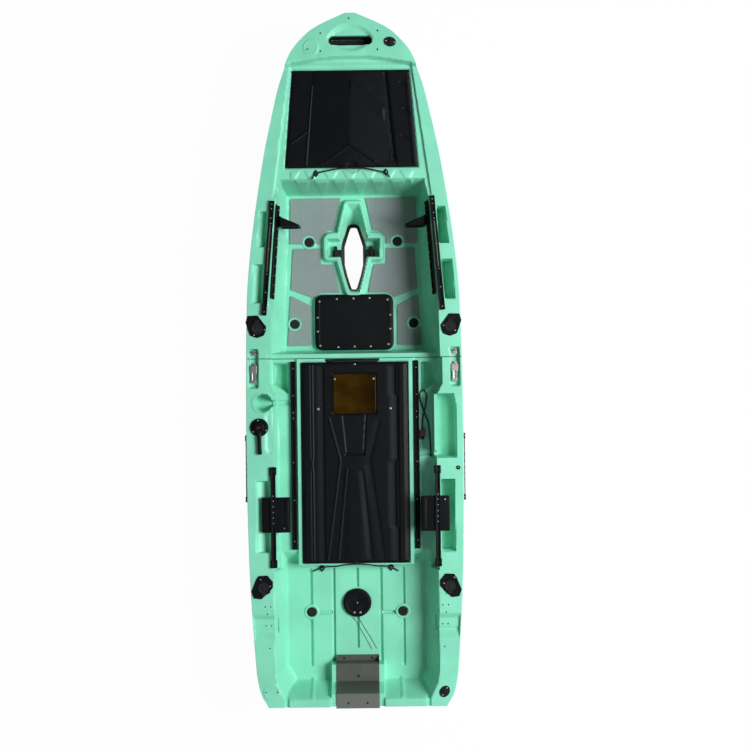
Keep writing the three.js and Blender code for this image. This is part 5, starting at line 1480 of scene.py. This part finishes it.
def make_steering():
    """Steering base and the lever on it, turned and swept about the same axis."""
    x, d = STEERING
    base = Piece("steering_seat", "hull", "steering_base")
    profile = [(7.9, 0.2), (38, 0.2), (38, 4.6), (36.6, 7), (33, 7.8), (26, 7.9), (7.9, 7.9)]
    base.add(ring_turned(x, d, 330.3, profile, 56), PLASTIC)
    base.screws(((x - 5, d - 30), (x + 28, d + 12), (x - 25, d + 16)), 338.0, 3.8, 1.6)
    base.finish(sharp=30)
    lever = Piece("steering_handle", "steering", "steering_lever")
    profile = [(0, -44), (15.8, -44), (15.8, -32.5), (6.8, -32), (6.8, 0.1), (21.4, 0.1), (22, 1),
               (22, 8.6), (20.4, 11.4), (16, 12.8), (9, 13.0), (7.4, 11.8), (0, 11.8)]
    lever.add(turned(x, d, 338.6, profile, 48), PLASTIC)
    line = curve_through([(x, 1738, 344.4), (-398.6, 1770, 344.2), (-397.4, 1810, 343.8),
                          (-396.4, 1838, 343.6)], 4)
    share = np.linspace(0, 1, len(line))
    radius = 9.6 - 2.0 * share + 1.6 * soft((share - 0.7) / 0.2)
    radius[-1] *= 0.55
    lever.add(along(line, radius, 20, 0.52), PLASTIC)
    lever.add(screw(x, d, 350.2, 4.4, 1.8), RED)
    lever.finish(sharp=40)


HANDLE_LINE = ((463.2, 1764), (464.0, 1780), (464.3, 1840), (464.4, 1903), (464.3, 1966),
               (464.0, 2026), (463.2, 2042))


def make_side_handles():
    """Carrying handles: a flat strap held off the hull between two end blocks."""
    for side in SIDES:
        piece = sided("carry_handle", "side_handle", side)
        line = curve_through([(side * x, d, 250) for x, d in HANDLE_LINE], 6)
        grip = 1.7 + 0.25 * np.sin(np.arange(len(line)) * 1.4) * (np.abs(line[:, 1] - 1903) < 70)
        piece.add(along(line, grip, 20, 7.2), RUBBER)
        for first, last in ((1761.3, 1785), (2021, 2044.7)):
            middle = (first + last) / 2
            skin = float(half_beam(middle)) + 0.6
            piece.add(block(side * skin, side * 467.6, first, last, 237.4, 262.6, 2.2, 1.6),
                      PLASTIC)
            piece.screws([(side * 464, middle)], 262.2, 2.6, 1.2)
        piece.finish(sharp=40)


def oval(x, d, long, wide, turn):
    """An ellipse turned about its centre."""
    angle = whole_turn(40)
    u, v = long * np.cos(angle), wide * np.sin(angle)
    return np.stack([x + u * math.cos(turn) - v * math.sin(turn),
                     d + u * math.sin(turn) + v * math.cos(turn)], -1)


def make_drains():
    """Drain plugs: an oval cover with a rim, a grip bar and two screws, and the stem."""
    for place, x, d, z, turn in (("bow", 166, 123, 352, 0.2), ("stern", 364, 2838, 330, -1.0)):
        piece = Piece(place + "_drain_cover", place + "_drain", place + "_drain_plug")
        levels = [(0.6, z + 0.35), (0, z + 1), (0, z + 3.4), (1.6, z + 5.2), (3.4, z + 5.0),
                  (4.6, z + 3.8)]
        piece.add(prism(oval(x, d, 25, 20, turn), levels), RUBBER)
        grip = oval(x, d, 14, 3.6, turn + math.pi / 2)
        piece.add(prism(grip, [(0, z + 3.4), (0, z + 7.6), (1.2, z + 8.8)]), RUBBER)
        stem = [(0, -23.6), (10.6, -23.6), (10.6, 0.6), (0, 0.6)]
        piece.add(turned(x, d, z, stem, 28), RUBBER)
        reach = 17 * np.array([math.cos(turn), math.sin(turn)])
        piece.screws([np.array([x, d]) + end * reach for end in SIDES], z + 3.9, 3.2, 2.2)
        piece.finish(sharp=35)


BRACKET = (
    (2712, 190.6), (2738.6, 190.6), (2740.2, 192.2), (2740.2, 238.6), (2741.8, 240.4),
    (2813.5, 240.4), (2815.2, 241.4), (2849.0, 317.4), (2850.8, 318.4), (2907.8, 318.4),
)
BRACKET_SCREWS = (
    (-60, 2727, 193.6, 5), (60, 2727, 193.6, 5), (2, 2792, 243.5, 5.5), (-40, 2886, 321.4, 4.6),
    (40, 2886, 321.4, 4.6),
)


def make_bracket():
    """Stern bracket: one folded sheet, its profile carried across the boat."""
    piece = Piece("stern_fold", "hull", "stern_bracket")
    thick = 3
    under = np.array(BRACKET)
    closing = (under[-1] + (0, 60), under[0] + (0, 180))
    over = drawn_in(np.concatenate([under, closing]), thick)[:len(under)]
    over[[0, -1]] = under[[0, -1]] + (0, thick)
    outline = np.concatenate([under, over[::-1]])
    rows = [level(outline, x)[:, [2, 0, 1]] for x in (-91, -90.4, 90.4, 91)]
    piece.add(rings(np.stack(rows)), SHEET)
    for x, d, z, r in BRACKET_SCREWS:
        washer = [(r, -0.2), (r + 2.2, -0.2), (r + 1.8, 0.7), (r, 0.5)]
        piece.add(ring_turned(x, d, z, washer, 24), SHEET)
        piece.add(turned(x, d, z, [(0, -0.3), (r, -0.3), (r, 0.2), (0, 0.2)], 24), RUBBER)
    piece.finish(sharp=20)


BOW_SCREWS = ((-123, 84), (115, 76), (-187, 153), (-124, 159), (114, 154), (-4, 23))
SIDE_HOLES = ((384, 2476), (360, 2476), (375, 2507), (382, 2559), (359, 2559), (366, 2650))
DISC_SCREWS = ((-384, 2834, 331.3), (-336, 2834, 331.3), (-178, 150, 353.3))
CLEATS = (
    (-150, 664, 319.8, 11, 12), (143, 662, 319.8, 11, 12), (-150, 2338, 189.8, 12, 15),
    (147, 2337, 189.8, 12, 15),
)


def make_fasteners():
    """Deck screws, plugged holes, cord cleats, the well's clips and a small ring fitting."""
    piece = Piece("deck_fasteners", "hull")
    piece.screws(BOW_SCREWS, 352.0, 3.6, 1.6, RUBBER)
    for x, d in SIDE_HOLES:
        for side in SIDES:
            low = float(stern_deck(np.array([side * float(x)]), np.array([float(d)]))[0])
            piece.add(screw(side * x, d, low - 0.6, 3.2, 1.4), RUBBER)
    for x, d, z in DISC_SCREWS:
        piece.add(screw(x, d, z - 0.4, 3.2, 1.3), RUBBER)
    for x, d, z, r, h in CLEATS:
        dome = [(0, 0), (r, 0), (r, h * 0.35), (r * 0.9, h * 0.62), (r * 0.55, h * 0.85),
                (r * 0.5, h * 0.8), (0, h * 0.8)]
        piece.add(turned(x, d, z, dome, 28), PLASTIC)
        piece.add(screw(x, d, z + h * 0.78, r * 0.4, 2.4), STEEL)
        piece.add(block(x - 3.4, x + 3.4, d - r - 4, d + r + 4, z, z + h * 0.45, 3, 1.4),
                  PLASTIC)
    for x in (-118, 102):
        piece.add(block(x - 5, x + 5, 1441.5, 1449.5, 249.6, 253.5, 2, 1.2), PLASTIC)
    for side in SIDES:
        piece.add(block(side * 50, side * 92, 962, 998, 91, 108, 6, 3), RUBBER)
        piece.add(block(side * 78 - 7, side * 78 + 7, 946, 990, 91, 114, 5, 3), RUBBER)
    eye = [(3, 0), (8.5, 0), (8.5, 3), (7.4, 4.6), (4, 4.6), (3, 3)]
    piece.add(ring_turned(432, 1902, 330.2, eye, 28), PLASTIC)
    piece.add(screw(432, 1902, 330.2, 3.2, 2.4), STEEL)
    piece.finish(sharp=35)


def make_grip_shade_and_brush():
    """A black sleeve in the bow grip's slot, as painted shade for its dark inside, and the brush
    round the drive well, which follows its surface.
    """
    # painted shade: a black sleeve down the slot's walls stands in for the shade inside the bow
    # grip
    shade_lining = Piece("bow_grip_shade_lining", "hull")
    unit = circle(0, 0, 1, 60)
    centres = np.sign(unit[:, :1]) * (GRIP_REACH, 0) + (0, GRIP)
    rows = [level(unit * radius + centres, z) for radius, z in (
        (18.4, 290.5), (18.4, 334.5), (17.0, 335.5), (15.8, 334.5), (14.5, 294.5))]
    shade_lining.add(rings(np.stack(rows)), RUBBER)
    shade_lining.finish(sharp=40)
    trim = Piece("drive_well_brush", "hull")
    rows = [level(drawn_in(keel_opening(), 0.5), z) for z in (24, 34)]
    for reach, lift in ((3, 1.6), (5, 1.6), (7, 1.6), (9, 1.6), (11, 1.6), (11, -1), (9, -1),
                        (7, -1), (5, -1), (3, -1)):
        line = drawn_in(keel_opening(), -reach)
        surface = np.maximum(bow_deck(line[:, 0], line[:, 1]), 30)
        rows.append(level(line, surface[:, None] + lift))
    trim.add(rings(np.stack(rows + rows[:1]), False), RUBBER)
    trim.finish(sharp=40)


# Cords


CORD_SIDES = 12
LAY = 243.1
FRONT_BUNGEE = [(x, d, 333.3) for x, d in (
    (-168, 690), (-150, 668), (-100, 654), (-50, 646), (0, 645), (50, 646), (98, 654),
    (146, 668), (160, 684),
)]
CENTRE_FRONT_BUNGEE = [(x, d, 253.3) for x, d in (
    (-120, 1442), (-104, 1448), (-50, 1451), (0, 1449), (50, 1451), (92, 1448), (104, 1442),
)]
CENTRE_REAR_BUNGEE = (
    (-190, 2352, 193.3), (-152, 2336, 202), (-128, 2328, 226), (-90, 2323, 250),
    (-50, 2316, 256), (0, 2313.5, 254), (50, 2316, 256), (90, 2323, 250), (126, 2328, 226),
    (148, 2336, 202), (178, 2354, 193.3),
)
POWER_CABLE = (
    (321, 1859.5, 246), (321, 1846, 246), (320, 1820, LAY), (317, 1770, LAY), (311, 1715, LAY),
    (300, 1685, LAY), (291, 1660, LAY), (283, 1635, LAY), (278, 1612, LAY), (278, 1594, LAY),
    (283, 1582, LAY), (291, 1577, LAY), (299, 1582, LAY), (304, 1594, LAY), (305, 1612, LAY),
    (302, 1635, 245), (298, 1655, 248.5), (292, 1678, 248.5), (288, 1700, LAY),
    (286, 1722, LAY), (286, 1745, LAY),
)
LANYARDS = (
    ((-12, 2534, 201.4), (-15, 2544, 201), (-17, 2552, 197), (-15, 2558, 191.8), (-4, 2574, 191.1),
     (16, 2608, 191.1), (38, 2648, 191.1), (60, 2689, 191.1)),
    ((2, 2534.5, 201.4), (2, 2545, 201), (4, 2552, 197), (8, 2559, 191.8), (18, 2578, 191.1),
     (35, 2606, 191.1), (59, 2646, 191.1), (82, 2688, 191.1)),
)


def map_tube(mesh, gone):
    """The tube's own map: the share round it, then the metres gone along it at each ring."""
    which = np.zeros(len(mesh.loops), np.int32)
    mesh.loops.foreach_get("vertex_index", which)
    totals = np.zeros(len(mesh.polygons), np.int32)
    mesh.polygons.foreach_get("loop_total", totals)
    share = (which % CORD_SIDES) / CORD_SIDES
    way = gone[np.clip(which // CORD_SIDES, 0, len(gone) - 1)]
    face = np.repeat(np.arange(len(totals)), totals)
    wraps = np.zeros(len(totals), bool)
    np.logical_or.at(wraps, face, share > 0.9)
    share = np.where(wraps[face] & (share < 0.05), 1.0, share)
    layer = mesh.uv_layers.new(name="UVMap")
    layer.data.foreach_set("uv", np.stack([share, way], -1).astype(np.float32).ravel())


def cord_piece(name, route, diameter, others=(), node=None,
               body="hull"):
    """A cord as a tube of rings on the curve through its route, mapped round and along."""
    line = curve_through(route, 3.0)
    piece = Piece(name, body, *([node] if node else []))
    piece.add(along(line, diameter / 2, CORD_SIDES), BRAID)
    made = piece.finish(sharp=60)
    reach = placed(line)
    gone = gone_along(reach)
    map_tube(made.data, gone)


def make_cords():
    """The bungees, the power cable with its ribbed connector and the lid's lanyard."""
    bungee = sizes().bungee_diameter * 1000
    for name, route in (
        ("front_bungee", FRONT_BUNGEE),
        ("centre_front_bungee", CENTRE_FRONT_BUNGEE),
        ("centre_rear_bungee", CENTRE_REAR_BUNGEE),
    ):
        cord_piece(name + "_cord", route, bungee, node=name)
    connector = Piece("power_connector_body", "hull", "power_connector")
    connector.add(block(276, 296, 1745.9, 1772.4, 240.4, 256.2, 3, 1.6), RED)
    connector.add(block(279, 293, 1772.0, 1786.4, 243, 253, 2, 1.0), RUBBER)
    for ridge in range(4):
        start = 1751 + ridge * 4.4
        connector.add(block(275.6, 296.4, start, start + 1.6, 244, 256.6, 0.6, 0.4), RED)
    cord_piece("power_cable_lead", POWER_CABLE, 5.0,
               [connector.finish()], "power_cable")
    for number, route in enumerate(LANYARDS, 1):
        cord_piece(f"lid_lanyard_{number}", route, 1.9,
                   body="round_hatch")


# Stage


def make_stage():
    """A camera straight above the boat, a floor at its foot, a dim white world and two lamps."""
    scene = bpy.context.scene
    camera = bpy.data.cameras.new("camera")
    camera.sensor_width = 36
    camera.lens = 57
    camera.clip_end = 100
    seat = shown("camera", camera)
    seat.location = (0.0876, -0.057, 5.3)
    seat.rotation_euler = (0, 0, -0.012)
    scene.camera = seat
    floor = bpy.data.meshes.new("floor")
    floor.from_pydata([(-40, -40, 0), (40, -40, 0), (40, 40, 0), (-40, 40, 0)], [], [(0, 1, 2, 3)])
    shown("floor", floor)
    floor.materials.append(floor_finish())
    scene.world = white_world()
    lamp("key_light", (4.5, 0.2, 5.3), 3.4, 610)
    lamp("fill_light", (-2.0, -3.8, 3.6), 3.0, 30)
    scene.view_settings.view_transform = "Standard"


def white_world():
    """White at full strength to the camera and through clear sheet, dim as a light."""
    world = bpy.data.worlds.new("studio")
    world.use_nodes = True
    tree = world.node_tree
    sky = tree.nodes["Background"]
    sky.inputs["Color"].default_value = (1, 1, 1, 1)
    path = tree.nodes.new("ShaderNodeLightPath")
    seen = tree.nodes.new("ShaderNodeMath")
    seen.operation = "MAXIMUM"
    for socket, ray in zip(seen.inputs, ("Is Camera Ray", "Is Transmission Ray")):
        tree.links.new(path.outputs[ray], socket)
    power = tree.nodes.new("ShaderNodeMapRange")
    power.inputs["To Min"].default_value = 0.1
    power.inputs["To Max"].default_value = 1.0
    tree.links.new(seen.outputs[0], power.inputs["Value"])
    tree.links.new(power.outputs["Result"], sky.inputs["Strength"])
    return world


def floor_finish():
    """A pale floor that looks white and still takes the object's shadow."""
    finish = Finish("pale_floor")
    finish.set(Base_Color=(0.86, 0.86, 0.86, 1), Roughness=0.9, Specular_IOR_Level=0.1)
    path = finish.node("ShaderNodeLightPath", {}, out="Is Camera Ray")
    outputs = path.socket.node.outputs
    seen = path.most(Wire(finish, outputs["Is Glossy Ray"]))
    seen = seen.most(Wire(finish, outputs["Is Transmission Ray"]))
    glow = finish.node("ShaderNodeEmission", {}, Color=(1, 1, 1, 1), Strength=1.0)
    mix = finish.node("ShaderNodeMixShader", {}, seen * 0.97)
    finish.tree.links.new(finish.shader.outputs["BSDF"], mix.socket.node.inputs[1])
    finish.tree.links.new(glow.socket, mix.socket.node.inputs[2])
    finish.tree.links.new(mix.socket, finish.output.inputs["Surface"])
    return finish.material


def lamp(name, place, size, power):
    """A square area light, turned to look at the frame's origin."""
    light = bpy.data.lights.new(name, "AREA")
    light.shape = "SQUARE"
    light.size = size
    light.energy = power
    seat = shown(name, light)
    seat.location = place
    x, y, z = place
    seat.rotation_euler = (math.atan2(math.hypot(x, y), z), 0, math.atan2(x, -y))


def finish_frame_nodes():
    """The nodes that stay take the finish of the slot that they are packed with."""
    packed = {row["node"]: row["material_slot"] for row in frame["record"]["subparts"]}
    for name, node in frame["nodes"].items():
        slot = packed.get(name)
        for holder in node.material_slots:
            holder.material = finish_of(slot if slot in FINISHES else PLASTIC)


# Operators


class KAYAK_OT_stage(bpy.types.Operator):
    """Camera, floor and lights"""

    bl_idname = "kayak.stage"
    bl_label = "Stage"

    def execute(self, context):
        make_stage()
        return {"FINISHED"}


class KAYAK_OT_cords(bpy.types.Operator):
    """Bungees, the power cable with its connector and the lid's lanyard"""

    bl_idname = "kayak.cords"
    bl_label = "Cords"

    def execute(self, context):
        make_cords()
        return {"FINISHED"}


class KAYAK_OT_hull(bpy.types.Operator):
    """Bow and stern mouldings"""

    bl_idname = "kayak.hull"
    bl_label = "Hull"

    def execute(self, context):
        make_hull()
        return {"FINISHED"}


class KAYAK_OT_front_cover(bpy.types.Operator):
    """Cover of the front hatch"""

    bl_idname = "kayak.front_cover"
    bl_label = "Front cover"

    def execute(self, context):
        make_front_cover()
        return {"FINISHED"}


class KAYAK_OT_centre_cover(bpy.types.Operator):
    """Cover of the centre hatch and its window"""

    bl_idname = "kayak.centre_cover"
    bl_label = "Centre cover"

    def execute(self, context):
        make_centre_cover()
        make_window()
        return {"FINISHED"}


class KAYAK_OT_round_hatch(bpy.types.Operator):
    """Ring and lid of the round hatch"""

    bl_idname = "kayak.round_hatch"
    bl_label = "Round hatch"

    def execute(self, context):
        make_round_hatch()
        return {"FINISHED"}


class KAYAK_OT_floor(bpy.types.Operator):
    """Plate and pads of the footwell, and rings round the scupper holes"""

    bl_idname = "kayak.floor"
    bl_label = "Floor"

    def execute(self, context):
        make_deck_plate()
        make_pads()
        make_scuppers()
        return {"FINISHED"}


class KAYAK_OT_gear_tracks(bpy.types.Operator):
    """Slotted tracks on the side decks"""

    bl_idname = "kayak.gear_tracks"
    bl_label = "Gear tracks"

    def execute(self, context):
        make_gear_tracks()
        return {"FINISHED"}


class KAYAK_OT_seat_rails(bpy.types.Operator):
    """Seat rails and side plates"""

    bl_idname = "kayak.seat_rails"
    bl_label = "Seat rails"

    def execute(self, context):
        make_seat_rails()
        make_side_plates()
        return {"FINISHED"}


class KAYAK_OT_foot_braces(bpy.types.Operator):
    """Foot brace tracks and pedals"""

    bl_idname = "kayak.foot_braces"
    bl_label = "Foot braces"

    def execute(self, context):
        make_foot_braces()
        return {"FINISHED"}


class KAYAK_OT_rod_holders(bpy.types.Operator):
    """Rod holders and their caps"""

    bl_idname = "kayak.rod_holders"
    bl_label = "Rod holders"

    def execute(self, context):
        make_rod_holders()
        return {"FINISHED"}


class KAYAK_OT_latches(bpy.types.Operator):
    """Section latches"""

    bl_idname = "kayak.latches"
    bl_label = "Latches"

    def execute(self, context):
        make_latches()
        return {"FINISHED"}


class KAYAK_OT_steering(bpy.types.Operator):
    """Steering base and lever"""

    bl_idname = "kayak.steering"
    bl_label = "Steering"

    def execute(self, context):
        make_steering()
        return {"FINISHED"}


class KAYAK_OT_side_handles(bpy.types.Operator):
    """Carrying handles"""

    bl_idname = "kayak.side_handles"
    bl_label = "Side handles"

    def execute(self, context):
        make_side_handles()
        return {"FINISHED"}


class KAYAK_OT_drains(bpy.types.Operator):
    """Drain plugs"""

    bl_idname = "kayak.drains"
    bl_label = "Drains"

    def execute(self, context):
        make_drains()
        return {"FINISHED"}


class KAYAK_OT_bracket(bpy.types.Operator):
    """Folded bracket at the stern"""

    bl_idname = "kayak.bracket"
    bl_label = "Stern bracket"

    def execute(self, context):
        make_bracket()
        return {"FINISHED"}


class KAYAK_OT_fasteners(bpy.types.Operator):
    """Screws, cleats, clips, painted shade in the bow grip's slot and the well's brush"""

    bl_idname = "kayak.fasteners"
    bl_label = "Fasteners"

    def execute(self, context):
        make_fasteners()
        make_grip_shade_and_brush()
        return {"FINISHED"}


class KAYAK_OT_frame_finishes(bpy.types.Operator):
    """Finishes of the nodes that stay"""

    bl_idname = "kayak.frame_finishes"
    bl_label = "Frame finishes"

    def execute(self, context):
        finish_frame_nodes()
        return {"FINISHED"}


OPERATORS = (
    KAYAK_OT_stage,
    KAYAK_OT_cords,
    KAYAK_OT_hull,
    KAYAK_OT_front_cover,
    KAYAK_OT_centre_cover,
    KAYAK_OT_round_hatch,
    KAYAK_OT_floor,
    KAYAK_OT_gear_tracks,
    KAYAK_OT_seat_rails,
    KAYAK_OT_foot_braces,
    KAYAK_OT_rod_holders,
    KAYAK_OT_latches,
    KAYAK_OT_steering,
    KAYAK_OT_side_handles,
    KAYAK_OT_drains,
    KAYAK_OT_bracket,
    KAYAK_OT_fasteners,
    KAYAK_OT_frame_finishes,
)


class KAYAK_PT_pieces(bpy.types.Panel):
    """Lists the kayak's operators"""

    bl_idname = "KAYAK_PT_pieces"
    bl_label = "Kayak"
    bl_space_type = "VIEW_3D"
    bl_region_type = "UI"
    bl_category = "Kayak"

    def draw(self, context):
        for operator in OPERATORS:
            self.layout.operator(operator.bl_idname)


CLASSES = (KayakSizes, KayakColours, *OPERATORS, KAYAK_PT_pieces)


def register():
    """Adds the classes and the two groups of settings."""
    for item in CLASSES:
        bpy.utils.register_class(item)
    bpy.types.Scene.kayak_sizes = PointerProperty(type=KayakSizes)
    bpy.types.Scene.kayak_colours = PointerProperty(type=KayakColours)


def unregister():
    """Takes them away again, in the reverse order."""
    del bpy.types.Scene.kayak_colours
    del bpy.types.Scene.kayak_sizes
    for item in reversed(CLASSES):
        bpy.utils.unregister_class(item)


def main():
    """Makes every piece in order."""
    register()
    for operator in OPERATORS:
        group, name = operator.bl_idname.split(".")
        getattr(getattr(bpy.ops, group), name)()


if __name__ == "__main__":
    main()
